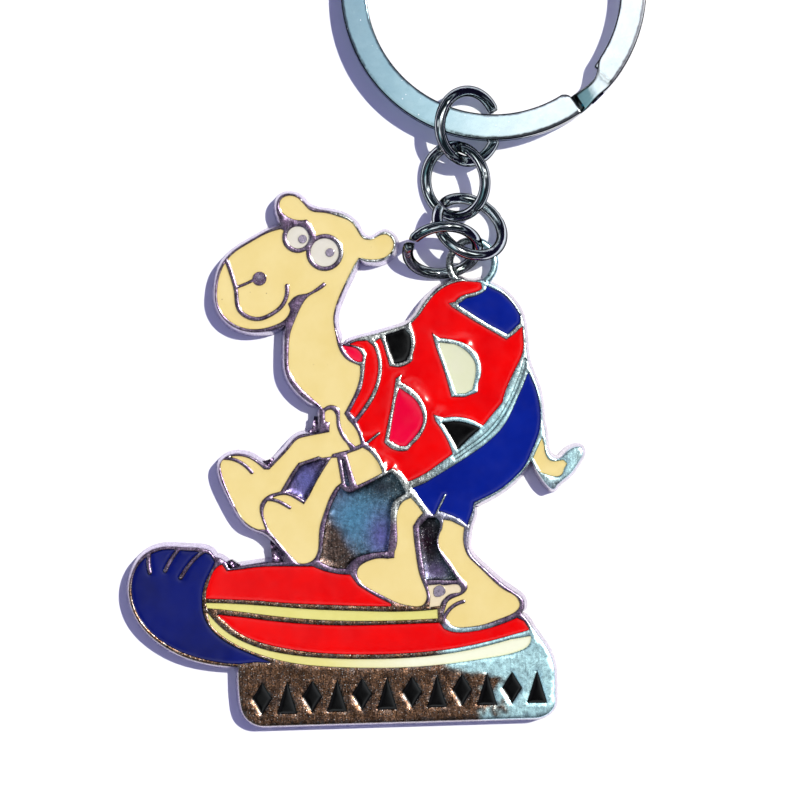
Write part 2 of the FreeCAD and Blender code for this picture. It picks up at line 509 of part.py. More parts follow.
def inlay_shapes(bottom, top):
    """Every enamel cell between two heights, by name."""
    head = prism(HEAD, bottom, top).cut([
        disc(LEFT_EYE, LEFT_EYE_RIM, bottom, top),
        disc(RIGHT_EYE, RIGHT_EYE_RIM, bottom, top),
        disc(NOSTRIL, NOSTRIL_RADIUS, bottom, top),
        stroke(MOUTH, MOUTH_LINE_WIDTH, bottom, top),
        stroke(NOSE_LINE, NOSE_LINE_WIDTH, bottom, top),
    ])
    left_pupil = disc(LEFT_PUPIL, PUPIL_RADIUS, bottom, top)
    right_pupil = disc(RIGHT_PUPIL, PUPIL_RADIUS, bottom, top)
    far_foreleg = prism(FAR_FORELEG, bottom, top).cut(stroke(FAR_HOOF_LINE, HOOF_LINE_WIDTH, bottom, top))
    near_hoof_line = stroke(NEAR_HOOF_LINE, HOOF_LINE_WIDTH, bottom, top)
    near_foreleg = prism(NEAR_FORELEG, bottom, top).cut(near_hoof_line)
    near_hind = prism(NEAR_HIND_LEG, bottom, top).cut(stroke(TOE_LINE, TOE_LINE_WIDTH, bottom, top))
    shorts = prism(SHORTS, bottom, top).cut(stroke(SHORTS_NOTCH, NOTCH_LINE_WIDTH, bottom, top))
    jersey = prism(JERSEY, bottom, top).cut([
        prism(JERSEY_LIGHT_HOLE, bottom, top),
        prism(JERSEY_DARK_HOLE, bottom, top),
        stroke(STICK, STICK_WIDTH, bottom, top),
    ])
    grip_lines = [stroke(line, GRIP_LINE_WIDTH, bottom, top) for line in GRIP_LINES]
    nose = prism(BOARD_NOSE, bottom, top).cut(grip_lines)
    return {
        "head_enamel": head,
        "left_eye_enamel": disc(LEFT_EYE, LEFT_EYE_RADIUS, bottom, top).cut(left_pupil),
        "right_eye_enamel": disc(RIGHT_EYE, RIGHT_EYE_RADIUS, bottom, top).cut(right_pupil),
        "far_foreleg_enamel": far_foreleg,
        "near_foreleg_enamel": near_foreleg,
        "thigh_enamel": prism(THIGH, bottom, top),
        "far_hind_leg_enamel": prism(FAR_HIND_LEG, bottom, top),
        "near_hind_leg_enamel": near_hind,
        "heel_enamel": prism(HEEL, bottom, top).cut(prism(HEEL_SPOT, bottom, top)),
        "tail_enamel": prism(TAIL, bottom, top),
        "shorts_enamel": shorts,
        "jersey_enamel": jersey,
        "light_patch_enamel": prism(LIGHT_PATCH, bottom, top),
        "dark_patch_enamel": prism(DARK_PATCH, bottom, top),
        "shoulder_patch_enamel": prism(SHOULDER_PATCH, bottom, top),
        "flank_patch_enamel": prism(FLANK_PATCH, bottom, top),
        "hump_patch_enamel": prism(HUMP_PATCH, bottom, top),
        "collar_enamel": prism(COLLAR, bottom, top),
        "collar_lining_enamel": prism(COLLAR_LINING, bottom, top),
        "board_nose_enamel": nose,
        "board_top_enamel": prism(BOARD_TOP, bottom, top),
        "board_stripe_enamel": prism(BOARD_STRIPE, bottom, top),
        "board_lower_enamel": prism(BOARD_LOWER, bottom, top),
        "board_edge_enamel": prism(BOARD_EDGE, bottom, top),
    }


def frieze_mark(number, bottom, top):
    """One mark of the frieze: diamonds and chevron-like triangles by turns."""
    share = number / (FRIEZE_COUNT - 1)
    x = FRIEZE_START[0] + (FRIEZE_END[0] - FRIEZE_START[0]) * share
    y = FRIEZE_START[1] + (FRIEZE_END[1] - FRIEZE_START[1]) * share
    half_width = FRIEZE_WIDTH / 2
    half_height = FRIEZE_HEIGHT / 2
    if number % 2 == 0:
        corners = [(x - half_width, y), (x, y - half_height), (x + half_width, y), (x, y + half_height)]
    else:
        foot = y - half_height
        corners = [(x - half_width, foot), (x + half_width, foot), (x, y + half_height)]
    return prism([[corner] for corner in corners], bottom, top)


def frieze(bottom, top):
    return Part.makeCompound([frieze_mark(i, bottom, top) for i in range(FRIEZE_COUNT)])


def pendant():
    """The casting with every pocket cut, and the enamel and infill that lie in the pockets."""
    floor = PLATE_THICK - POCKET_DEPTH
    enamel_top = PLATE_THICK - ENAMEL_SINK
    above = PLATE_THICK + CUT_CLEAR
    pockets = list(inlay_shapes(floor, above).values())
    for window in (KNEE_WINDOW, SLOT_WINDOW, BELLY_WINDOW, HIND_WINDOW):
        pockets.append(prism(window, PLATE_THICK - WINDOW_DEPTH, above))
    pockets.append(stroke(SADDLE_GROOVE, GROOVE_WIDTH, PLATE_THICK - GROOVE_DEPTH, above))
    frieze_floor = PLATE_THICK - FRIEZE_DEPTH
    pockets += frieze(frieze_floor, above).Solids
    shapes = {"pendant_casting": casting_blank().cut(pockets)}
    shapes.update(inlay_shapes(floor, enamel_top))
    shapes["plate_infill"] = frieze(frieze_floor, enamel_top)
    return shapes


def jump_ring(centre, normal, cut_towards):
    """Round wire bent to a ring, with the cut that it was closed at."""
    middle = Vector(*centre)
    axis = Vector(*normal).normalize()
    out = Vector(*cut_towards)
    out = (out - axis * out.dot(axis)).normalize()
    start = FreeCAD.Rotation(axis, RING_GAP / 2).multVec(out)
    tangent = axis.cross(start)
    section = Part.Face(Part.Wire(Part.makeCircle(WIRE_RADIUS, middle + start * RING_RADIUS, tangent)))
    return section.revolve(middle, axis, 360 - RING_GAP)


def band_section(angle, bottom):
    """Section of the split ring's flat wire at an angle about the ring's own axis."""
    inner = SPLIT_OUTER_RADIUS - SPLIT_BAND
    corners = []
    for radius, height in ((inner, 0), (SPLIT_OUTER_RADIUS, 0), (SPLIT_OUTER_RADIUS, SPLIT_LAYER),
                           (inner, SPLIT_LAYER)):
        turn = math.radians(angle)
        corners.append(Vector(radius * math.cos(turn), radius * math.sin(turn), bottom + height))
    return Part.makePolygon(corners + corners[:1])


def split_ring():
    """Two turns of flat wire with one step between them, tilted on its far edge."""
    upper = SPLIT_SLIT / 2
    lower = -SPLIT_SLIT / 2 - SPLIT_LAYER
    axis = Vector(0, 0, 1)
    arc = 360 - STEP_ANGLE
    step_start = TIP_ANGLE + STEP_ANGLE
    upper_turn = Part.Face(band_section(step_start, upper)).revolve(Vector(), axis, arc)
    lower_start = band_section(step_start + SEAM_GAP, lower)
    lower_turn = Part.Face(lower_start).revolve(Vector(), axis, arc - SEAM_GAP)
    sections = []
    for i in range(STEP_SECTIONS + 1):
        share = i / STEP_SECTIONS
        ease = (1 - math.cos(math.pi * share)) / 2
        sections.append(band_section(step_start - STEP_ANGLE * share, upper + (lower - upper) * ease))
    step = Part.makeLoft(sections, True, True)
    ring = upper_turn.fuse([lower_turn, step])
    ring.rotate(Vector(), Vector(1, 0, 0), -SPLIT_TILT)
    lowest = SPLIT_OUTER_RADIUS * math.sin(math.radians(SPLIT_TILT)) + SPLIT_LAYER + SPLIT_SLIT / 2
    ring.translate(Vector(SPLIT_CENTRE[0], SPLIT_CENTRE[1], lowest + SPLIT_CLEAR))
    return ring


def keychain():
    shapes = pendant()
    shapes["split_ring"] = split_ring()
    for name, (centre, normal, cut_towards) in JUMP_RINGS.items():
        shapes[name] = jump_ring(centre, normal, cut_towards)
    box = Part.makeCompound(list(shapes.values())).optimalBoundingBox(True, False)
    shift = Vector(-box.Center.x, -box.Center.y, 0)
    print("shift", shift, "size", box.XLength, box.YLength, box.ZMax, "low", box.ZMin)
    for shape in shapes.values():
        shape.translate(shift)
    return shapes


def main():
    os.makedirs("parts", exist_ok=True)
    for name, shape in keychain().items():
        shape.exportStep("parts/" + name + ".step")
        print(name, len(shape.Solids), round(shape.Volume, 2), shape.isValid())


main()
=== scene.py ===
"""Looks of an enamelled souvenir keychain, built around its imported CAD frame.

Lengths inside the helpers are millimetres in the row frame. Meshes are written in metres.
"""

import math

import bpy
import numpy as np
from mathutils import Matrix, Vector, noise
from mathutils.geometry import delaunay_2d_cdt
from mathutils.kdtree import KDTree

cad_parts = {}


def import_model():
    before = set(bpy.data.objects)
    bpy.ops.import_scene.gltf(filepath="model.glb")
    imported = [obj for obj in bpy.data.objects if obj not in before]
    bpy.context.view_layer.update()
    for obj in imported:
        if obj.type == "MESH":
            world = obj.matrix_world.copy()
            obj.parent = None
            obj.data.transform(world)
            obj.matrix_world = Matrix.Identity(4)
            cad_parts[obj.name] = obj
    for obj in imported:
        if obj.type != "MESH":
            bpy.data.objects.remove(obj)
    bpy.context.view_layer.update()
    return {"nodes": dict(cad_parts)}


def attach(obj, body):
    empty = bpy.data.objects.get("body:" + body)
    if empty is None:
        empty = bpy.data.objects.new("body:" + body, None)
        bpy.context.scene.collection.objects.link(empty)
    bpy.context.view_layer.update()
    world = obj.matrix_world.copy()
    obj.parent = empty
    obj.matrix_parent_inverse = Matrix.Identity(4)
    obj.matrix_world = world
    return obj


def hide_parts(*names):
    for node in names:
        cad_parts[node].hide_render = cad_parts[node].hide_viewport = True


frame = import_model()

MM = 0.001
SHIFT = (8.503809, 1.916378)      # from the hanging loop's hole to the row frame's origin

PLATE_THICK = 3.0
ENAMEL_TOP = 2.92                 # the CAD enamel's face, where its outline is read
POCKET_FLOOR = 2.5
EYE_HOLE = 1.85                   # radius of the hanging loop's hole
EYE_HALF_WIDTH = 0.375            # half the width and height of the hanging loop's own section
EYE_HALF_HEIGHT = 0.525
EYE_MIDDLE = 1.825                # height of that section's middle
EDGE_ROUND = 0.085                # rounding of the ridges, inwards from their edges
EDGE_DROP = 0.10                  # and downwards
SMALL_ROUND = 0.45                # share of that rounding on the small discs
WEAR_AND_SHEEN_MIDDLE = 0.55                # where across the rounding the pale wear and painted highlight are strongest
SIDE_LEAN = 0.4                   # room that the leaning outer sides ask for


# ---------------------------------------------------------------- geometry helpers

def seeded(seed):
    return np.random.default_rng(seed)


def fractal(x, y, scale, seed, octaves=3):
    """Smooth noise about zero at a point given in mm, with features of the size of scale."""
    at = Vector((x / scale + seed * 17.3, y / scale - seed * 5.1, seed * 3.7))
    return noise.fractal(at, 0.6, 2.0, octaves)


def face_loops(node, height):
    """Outlines, in mm, of a CAD node's level faces at one height, with the face on their left."""
    mesh = node.data
    points = [v.co / MM for v in mesh.vertices]
    keys = [(round(p.x, 3), round(p.y, 3)) for p in points]
    edges = set()
    for poly in mesh.polygons:
        corners = list(poly.vertices)
        if all(abs(points[i].z - height) < 0.004 for i in corners) and poly.normal.z > 0.9:
            for a, b in zip(corners, corners[1:] + corners[:1]):
                edges.add((keys[a], keys[b]))
    after = {}
    for a, b in sorted(edges):
        if (b, a) not in edges and a != b:
            after.setdefault(a, []).append(b)
    loops = []
    while after:
        start = min(after)
        loop = [start]
        here = start
        while True:
            nexts = after[here]
            step = nexts.pop(0)
            if not nexts:
                del after[here]
            here = step
            if here == start or here not in after:
                break
            loop.append(here)
        if len(loop) > 2:
            loops.append(np.array(loop))
    return loops


def resample(loop, step, corner_deg=24.0):
    """The closed outline with even points between its corners, which stay sharp."""
    keep = []
    count = len(loop)
    for i in range(count):
        before = loop[i] - loop[i - 1]
        after = loop[(i + 1) % count] - loop[i]
        turn = abs(math.degrees(math.atan2(before[0] * after[1] - before[1] * after[0], before @ after)))
        if turn > corner_deg:
            keep.append(i)
    if not keep:
        keep = [0]
    result = []
    for n, i in enumerate(keep):
        j = keep[(n + 1) % len(keep)]
        span = (j - i) % count or count
        run = np.array([loop[(i + k) % count] for k in range(span + 1)])
        lengths = np.hypot(*np.diff(run, axis=0).T)
        along = np.concatenate([[0], np.cumsum(lengths)])
        pieces = max(1, int(round(along[-1] / step)))
        at = np.linspace(0, along[-1], pieces + 1)[:-1]
        result.append(np.column_stack([np.interp(at, along, run[:, 0]), np.interp(at, along, run[:, 1])]))
    return np.concatenate(result)


def inward_normals(loop):
    """Unit normals to the left of a closed outline, at its points."""
    along = np.roll(loop, -1, axis=0) - np.roll(loop, 1, axis=0)
    along /= np.maximum(np.hypot(along[:, 0], along[:, 1]), 1e-9)[:, None]
    return np.column_stack([-along[:, 1], along[:, 0]])


class Border:
    """Distance from any point to a set of closed outlines, and which outline is the nearest."""

    def __init__(self, loops):
        step = 0.02
        samples = []
        owner = []
        for n, loop in enumerate(loops):
            closed = np.vstack([loop, loop[:1]])
            for a, b in zip(closed[:-1], closed[1:]):
                pieces = max(1, int(math.ceil(np.hypot(*(b - a)) / step)))
                for k in range(pieces):
                    samples.append(a + (b - a) * k / pieces)
                    owner.append(n)
        self.tree = KDTree(len(samples))
        for i, s in enumerate(samples):
            self.tree.insert((s[0], s[1], 0), i)
        self.tree.balance()
        self.owner = owner

    def nearest(self, x, y):
        _, i, d = self.tree.find((x, y, 0))
        return d, self.owner[i]


def inside_count(points, loops):
    """How many of the outlines each point is inside."""
    most_at_once = 4000000        # point and edge pairs that fit in memory together
    counts = np.zeros(len(points), int)
    for loop in loops:
        low = loop.min(0)
        high = loop.max(0)
        near = np.where(((points >= low) & (points <= high)).all(1))[0]
        if not len(near):
            continue
        a = loop
        b = np.roll(loop, -1, axis=0)
        for block in np.array_split(near, max(1, len(near) * len(a) // most_at_once + 1)):
            px = points[block, 0][:, None]
            py = points[block, 1][:, None]
            crosses = (a[:, 1] > py) != (b[:, 1] > py)
            slope = (b[:, 0] - a[:, 0]) / np.where(b[:, 1] == a[:, 1], 1e-12, b[:, 1] - a[:, 1])
            right = px < a[:, 0] + slope * (py - a[:, 1])
            counts[block] += (crosses & right).sum(1) % 2
    return counts


def thin_out(points, gap, blocked):
    """The points in order, without those nearer than the gap to one kept before or to a blocked one."""
    cells = {}
    kept = []

    def clear(p):
        cx, cy = int(math.floor(p[0] / gap)), int(math.floor(p[1] / gap))
        for i in (cx - 1, cx, cx + 1):
            for j in (cy - 1, cy, cy + 1):
                for q in cells.get((i, j), ()):
                    if (q[0] - p[0]) ** 2 + (q[1] - p[1]) ** 2 < gap * gap:
                        return False
        return True

    def put(p):
        cells.setdefault((int(math.floor(p[0] / gap)), int(math.floor(p[1] / gap))), []).append(p)

    for p in blocked:
        put(p)
    for p in points:
        if clear(p):
            put(p)
            kept.append(p)
    return kept


def fill_points(loops, border, offsets, grid, region, seed):
    """Points inside a region: rows that follow its outlines, then a loose hexagonal grid."""
    nearest_gap, widest_gap = 0.035, 0.1
    jitter = 0.12
    extra = []
    for offset in offsets:
        along = []
        for loop in loops:
            moved = loop + inward_normals(loop) * offset
            along += [tuple(p) for p in moved]
        # in narrow places a moved outline runs into its neighbour, and is left out
        along = [p for p in along if abs(border.nearest(*p)[0] - offset) < offset * 0.12 + 0.004]
        gap = max(nearest_gap, offset * 0.55)
        extra += thin_out(along, min(gap, widest_gap), extra)
    low = np.min([loop.min(0) for loop in loops], axis=0)
    high = np.max([loop.max(0) for loop in loops], axis=0)
    random = seeded(seed)
    cloud = []
    for j, y in enumerate(np.arange(low[1], high[1], grid * 0.866)):
        for x in np.arange(low[0] + (j % 2) * grid / 2, high[0], grid):
            away_x = random.uniform(-jitter, jitter) * grid
            away_y = random.uniform(-jitter, jitter) * grid
            cloud.append((x + away_x, y + away_y))
    reach = (offsets[-1] if offsets else 0) + grid * 0.35
    cloud = [p for p in cloud if border.nearest(*p)[0] > reach]
    extra += cloud
    counts = inside_count(np.array(extra), loops) if extra else np.zeros(0, int)
    return [p for p, c in zip(extra, counts) if region(c)]


def triangulate(loops, extra):
    """Triangles over the outlines and extra points. Returns points, faces and each face's middle."""
    points = []
    edges = []
    for loop in loops:
        first = len(points)
        points += [Vector((p[0], p[1])) for p in loop]
        edges += [(first + i, first + (i + 1) % len(loop)) for i in range(len(loop))]
    points += [Vector(p) for p in extra]
    co, _, faces, _, _, _ = delaunay_2d_cdt(points, edges, [], 0, 1e-6, False)
    co = np.array([(p.x, p.y) for p in co])
    faces = np.array([f if len(f) == 3 else f[:3] for f in faces])
    middles = co[faces].mean(1)
    a, b, c = co[faces[:, 0]], co[faces[:, 1]], co[faces[:, 2]]
    area = (b[:, 0] - a[:, 0]) * (c[:, 1] - a[:, 1]) - (b[:, 1] - a[:, 1]) * (c[:, 0] - a[:, 0])
    faces[area < 0] = faces[area < 0][:, ::-1]
    return co, faces, middles


def make_object(name, verts, faces, material, smooth_deg=50.0, attributes=None, tint=None):
    """A mesh object from mm coordinates, smooth except over sharp edges."""
    mesh = bpy.data.meshes.new(name)
    mesh.from_pydata([(x * MM, y * MM, z * MM) for x, y, z in verts], [], [tuple(f) for f in faces])
    mesh.validate()
    for key, values in (attributes or {}).items():
        layer = mesh.attributes.new(key, "FLOAT", "POINT")
        layer.data.foreach_set("value", np.array(values, np.float32))
    if tint is not None:
        layer = mesh.attributes.new("tint", "FLOAT_COLOR", "POINT")
        layer.data.foreach_set("color", np.array(tint, np.float32).ravel())
    mesh.polygons.foreach_set("use_smooth", [True] * len(mesh.polygons))
    mesh.set_sharp_from_angle(angle=math.radians(smooth_deg))
    obj = bpy.data.objects.new(name, mesh)
    bpy.context.scene.collection.objects.link(obj)
    mesh.materials.append(material)
    return obj


# ---------------------------------------------------------------- material helpers

class Nodes:
    """Small builder of one material's nodes."""

    def __init__(self, name):
        self.material = bpy.data.materials.new(name)
        self.material.use_nodes = True
        self.tree = self.material.node_tree
        self.shader = self.tree.nodes["Principled BSDF"]
        self.place = self.add("ShaderNodeMapping")
        coords = self.add("ShaderNodeTexCoord")
        self.link(coords.outputs["Object"], self.place.inputs["Vector"])
        self.place.inputs["Scale"].default_value = (1 / MM, 1 / MM, 1 / MM)

    def add(self, kind, **settings):
        node = self.tree.nodes.new(kind)
        for key, value in settings.items():
            setattr(node, key, value)
        return node

    def link(self, a, b):
        self.tree.links.new(a, b)

    def put(self, value, socket):
        if hasattr(value, "links"):
            self.link(value, socket)
        else:
            socket.default_value = value

    def noise(self, size, detail=3.0, rough=0.55, distortion=0.0, stretch=None):
        """Noise about 0.5 with features of a size in mm."""
        node = self.add("ShaderNodeTexNoise")
        source = self.place.outputs["Vector"]
        if stretch is not None:
            more = self.add("ShaderNodeMapping")
            more.inputs["Rotation"].default_value = (0, 0, math.radians(stretch[0]))
            more.inputs["Scale"].default_value = stretch[1]
            self.link(source, more.inputs["Vector"])
            source = more.outputs["Vector"]
        self.link(source, node.inputs["Vector"])
        node.inputs["Scale"].default_value = 1 / size
        node.inputs["Detail"].default_value = detail
        node.inputs["Roughness"].default_value = rough
        node.inputs["Distortion"].default_value = distortion
        return node.outputs["Fac"]

    def cells(self, size):
        """Distance from scattered points about a size in mm apart, from 0 at each point."""
        node = self.add("ShaderNodeTexVoronoi")
        self.link(self.place.outputs["Vector"], node.inputs["Vector"])
        node.inputs["Scale"].default_value = 1 / size
        return node.outputs["Distance"]

    def steps(self, value, stops):
        """Colour ramp. Each stop is (position, grey or colour)."""
        node = self.add("ShaderNodeValToRGB")
        self.link(value, node.inputs["Fac"])
        ramp = node.color_ramp
        while len(ramp.elements) < len(stops):
            ramp.elements.new(0.5)
        for element, (position, colour) in zip(ramp.elements, stops):
            element.position = position
            if not hasattr(colour, "__len__"):
                colour = (colour, colour, colour)
            element.color = (*colour, 1)
        return node.outputs["Color"]

    def blend(self, share, a, b, mode="MIX"):
        node = self.add("ShaderNodeMix", data_type="RGBA", blend_type=mode)
        self.put(share, node.inputs[0])
        for value, socket in ((a, node.inputs[6]), (b, node.inputs[7])):
            if not hasattr(value, "links") and len(value) == 3:
                value = (*value, 1)
            self.put(value, socket)
        return node.outputs[2]

    def math(self, operation, a, b=0.0, c=0.0, clamp=False):
        node = self.add("ShaderNodeMath", operation=operation, use_clamp=clamp)
        self.put(a, node.inputs[0])
        self.put(b, node.inputs[1])
        self.put(c, node.inputs[2])
        return node.outputs[0]

    def attribute(self, name, output="Fac"):
        node = self.add("ShaderNodeAttribute", attribute_name=name)
        return node.outputs[output]

    def bump(self, height, distance, before=None):
        """Bump whose height of one stands for a distance in mm."""
        node = self.add("ShaderNodeBump")
        self.put(height, node.inputs["Height"])
        node.inputs["Strength"].default_value = 1.0
        node.inputs["Distance"].default_value = distance * MM
        if before is not None:
            self.link(before, node.inputs["Normal"])
        return node.outputs["Normal"]

    def finish(self, colour, rough, normal, metallic=0.0, specular=0.5, glancing=None):
        """The material with its shader's inputs set. glancing tints reflections at a low angle."""
        self.put(colour, self.shader.inputs["Base Color"])
        self.put(rough, self.shader.inputs["Roughness"])
        self.shader.inputs["Metallic"].default_value = metallic
        self.shader.inputs["Specular IOR Level"].default_value = specular
        if glancing is not None:
            self.put(glancing, self.shader.inputs["Specular Tint"])
        self.link(normal, self.shader.inputs["Normal"])
        return self.material


def enamel(name, colour, deep, specks=0.0, fade=None):
    """Glossy soft enamel: clouded colour, deeper at its walls, with dust specks and a slow ripple.

    specks is how strongly the dust shows. fade gives a second colour and the places in x, in mm,
    between which the first turns into it.
    """
    speck_colour = (0.16, 0.07, 0.02)
    n = Nodes(name)
    cloud = n.noise(3.5, 3.0)
    base = n.blend(n.steps(cloud, [(0.35, 0.0), (0.68, 1.0)]), colour, deep)
    if fade is not None:
        other, start, end = fade
        split = n.add("ShaderNodeSeparateXYZ")
        n.link(n.place.outputs["Vector"], split.inputs[0])
        wave = n.math("MULTIPLY_ADD", n.noise(1.5, 2.0), 2.0, split.outputs["X"])
        share = n.math("DIVIDE", n.math("SUBTRACT", wave, start + 1.0), end - start, clamp=True)
        base = n.blend(share, base, other)
    rim = n.attribute("rim")
    base = n.blend(n.math("MULTIPLY", rim, 0.45), base, tuple(c * 0.72 for c in deep))
    if specks:
        dust = n.cells(1.15)
        spread = n.steps(dust, [(0.03, 1.0), (0.055, 0.0)])
        rare = n.steps(n.noise(2.3, 0.0), [(0.58, 0.0), (0.62, 1.0)])
        share = n.math("MULTIPLY", n.math("MULTIPLY", spread, rare), specks)
        base = n.blend(share, base, speck_colour)
    normal = n.bump(n.noise(2.6, 1.0), 0.006)
    normal = n.bump(n.noise(0.5, 2.0), 0.0008, normal)
    rough = n.steps(n.noise(1.1, 3.0), [(0.3, 0.08), (0.75, 0.15)])
    return n.finish(base, rough, normal, specular=0.35)


def cast_metal(name):
    """Nickel-plated die casting. The tint attribute is its painted reflection and shade, with the grain's
    coarseness as alpha.
    """
    scratch_colour = (0.02, 0.03, 0.045)
    wear_and_sheen_colour = (0.80, 0.79, 0.82)
    glint_colour = (0.85, 0.86, 0.88)
    n = Nodes(name)
    tint = n.attribute("tint", "Color")
    coarse = n.attribute("tint", "Alpha")
    grain = n.noise(0.15, 3.0, 0.7)
    flecks = n.steps(grain, [(0.36, 0.10), (0.47, 0.55), (0.56, 1.15), (0.66, 2.1)])
    base = n.blend(coarse, tint, n.blend(1.0, tint, flecks, "MULTIPLY"))
    patches = n.steps(n.noise(0.8, 3.0), [(0.36, 0.55), (0.64, 1.3)])
    base = n.blend(coarse, base, n.blend(1.0, base, patches, "MULTIPLY"))
    # curled hairline scratches and upright brush marks, over smooth stains as well
    curls = n.noise(1.3, 3.0, 0.6, 1.2)
    hairlines = n.steps(curls, [(0.470, 0.0), (0.492, 1.0), (0.508, 1.0), (0.530, 0.0)])
    base = n.blend(n.math("MULTIPLY", hairlines, 0.36), base, scratch_colour)
    brushed = n.noise(0.16, 2.0, 0.5, 0.2, stretch=(4, (1.0, 0.12, 1.0)))
    share = n.math("MULTIPLY_ADD", coarse, 0.68, 0.13)
    streaks = n.steps(brushed, [(0.38, 0.55), (0.62, 1.4)])
    base = n.blend(share, base, n.blend(1.0, base, streaks, "MULTIPLY"))
    # the plating is worn pale along the ridges' edges, a pale that is also a painted highlight
    wear_and_sheen_mask = n.attribute("edge")
    wear_and_sheen_share = n.math("MULTIPLY", wear_and_sheen_mask, n.steps(n.noise(0.5, 2.0), [(0.45, 0.0), (0.62, 0.55)]))
    base = n.blend(wear_and_sheen_share, base, wear_and_sheen_colour)
    glints = n.math("MULTIPLY", n.steps(n.noise(0.13, 1.0), [(0.68, 0.0), (0.73, 0.8)]), coarse)
    base = n.blend(glints, base, glint_colour)
    scratches = n.noise(0.20, 2.0, 0.5, 0.3, stretch=(62, (1.0, 0.09, 1.0)))
    normal = n.bump(n.math("MULTIPLY", grain, coarse), 0.016)
    normal = n.bump(n.math("MULTIPLY", n.noise(0.75, 2.0), coarse), 0.016, normal)
    normal = n.bump(scratches, 0.003, normal)
    rough = n.steps(n.noise(0.4, 3.0), [(0.3, 0.23), (0.7, 0.31)])
    return n.finish(base, rough, normal, metallic=1.0)


def bright_metal(name, colour, tint, grain_height, rough_low, rough_high, across=None):
    """Polished nickel plate with fine tool marks, faint stains and dust.

    colour turns into tint where it is stained. The shade attribute is painted shade. across gives the
    plate's colours at places in x, in mm, which are a painted reflection, and tint then darkens them.
    """
    painted_shade_colour = (0.006, 0.008, 0.009)
    mote_colour = (0.93, 0.95, 0.96)
    n = Nodes(name)
    if across is not None:
        split = n.add("ShaderNodeSeparateXYZ")
        n.link(n.place.outputs["Vector"], split.inputs[0])
        low, high = across[0][0], across[-1][0]
        share = n.math("DIVIDE", n.math("SUBTRACT", split.outputs["X"], low), high - low, clamp=True)
        colour = n.steps(share, [((x - low) / (high - low), c) for x, c in across])
        tint = n.blend(1.0, colour, tint, "MULTIPLY")
    stain = n.steps(n.noise(1.7, 4.0, 0.6), [(0.36, 0.0), (0.7, 1.0)])
    base = n.blend(stain, colour, tint)
    # the shade attribute darkens the metal as painted shade
    shade = n.attribute("shade")
    base = n.blend(n.math("MULTIPLY", shade, 0.97), base, painted_shade_colour)
    motes = n.steps(n.cells(0.5), [(0.09, 1.0), (0.16, 0.0)])
    rare = n.steps(n.noise(1.3, 1.0), [(0.52, 0.0), (0.58, 1.0)])
    mote = n.math("MULTIPLY", motes, rare)
    base = n.blend(n.math("MULTIPLY", mote, 0.8), base, mote_colour)
    normal = n.bump(n.noise(1.4, 2.0), 0.016)
    normal = n.bump(n.noise(0.16, 2.0), grain_height, normal)
    rough = n.steps(n.noise(0.5, 4.0), [(0.3, rough_low), (0.75, rough_high)])
    # painted shade stays dark at a low angle as well
    glancing = n.blend(shade, (1.0, 1.0, 1.0), (0.0, 0.0, 0.0))
    return n.finish(base, rough, normal, metallic=1.0, glancing=glancing)


# ---------------------------------------------------------------- materials

CREAM = enamel("cream enamel", (0.79, 0.655, 0.265), (0.755, 0.61, 0.22), specks=0.8)
LEMON = enamel("lemon enamel", (0.72, 0.69, 0.22), (0.68, 0.64, 0.17), specks=0.3)
EDGING = enamel("edging enamel", (0.74, 0.70, 0.25), (0.70, 0.65, 0.19), 0.3, ((0.83, 0.86, 0.62), -6.0, 3.0))
IVORY = enamel("ivory enamel", (0.70, 0.72, 0.49), (0.66, 0.70, 0.43), specks=0.5)
HEEL_CREAM = enamel("heel enamel", (0.76, 0.67, 0.44), (0.72, 0.62, 0.38), specks=0.5)
EYE_WHITE = enamel("eye enamel", (0.70, 0.68, 0.56), (0.66, 0.64, 0.50), specks=0.3)
RED = enamel("red enamel", (0.80, 0.0005, 0.0005), (0.68, 0.0, 0.001))
CRIMSON = enamel("crimson enamel", (0.80, 0.0, 0.040), (0.72, 0.0, 0.030))
BLUE = enamel("blue enamel", (0.002, 0.014, 0.24), (0.001, 0.009, 0.19))
NAVY = enamel("navy enamel", (0.001, 0.006, 0.125), (0.0008, 0.004, 0.09))
BLACK = enamel("black enamel", (0.001, 0.001, 0.001), (0.0006, 0.0006, 0.0006))
CAST = cast_metal("cast nickel")
WIRE = bright_metal("ring wire", (0.80, 0.84, 0.84), (0.44, 0.54, 0.56), 0.0012, 0.03, 0.08)
# the band's colours, dark teal on the left and pale on the right, are a painted reflection
BAND = bright_metal("split ring band", None, (0.86, 0.90, 0.92), 0.0004, 0.04, 0.10, [
    (-5.0, (0.26, 0.38, 0.44)), (0.0, (0.31, 0.46, 0.52)), (5.0, (0.46, 0.64, 0.69)),
    (9.0, (0.68, 0.84, 0.86)), (15.0, (0.86, 0.94, 0.95)), (25.0, (0.93, 0.96, 0.96))])


# ---------------------------------------------------------------- enamel cells

ENAMELS = {
    "head_enamel": CREAM, "far_foreleg_enamel": CREAM, "near_foreleg_enamel": CREAM, "thigh_enamel": CREAM,
    "far_hind_leg_enamel": CREAM, "near_hind_leg_enamel": CREAM, "tail_enamel": CREAM,
    "board_stripe_enamel": LEMON, "board_edge_enamel": EDGING,
    "left_eye_enamel": EYE_WHITE, "right_eye_enamel": EYE_WHITE, "light_patch_enamel": IVORY,
    "heel_enamel": HEEL_CREAM,
    "jersey_enamel": RED, "collar_enamel": RED, "board_top_enamel": RED, "board_lower_enamel": RED,
    "dark_patch_enamel": CRIMSON, "collar_lining_enamel": CRIMSON,
    "shorts_enamel": BLUE, "hump_patch_enamel": BLUE, "board_nose_enamel": NAVY,
    "shoulder_patch_enamel": BLACK, "flank_patch_enamel": BLACK, "plate_infill": BLACK,
}

MENISCUS = 0.12                   # how far the enamel's climb at a wall reaches
CLIMB = 0.035                     # and how high it goes
ENAMEL_MIDDLE = 2.79              # height of the enamel away from the walls
RIM_REACH = 0.12                  # how far the deeper colour at a wall reaches
SWELL_REACH = 1.05                # the same reach and climb where the enamel was laid on thick
SWELL_RISE = 0.205
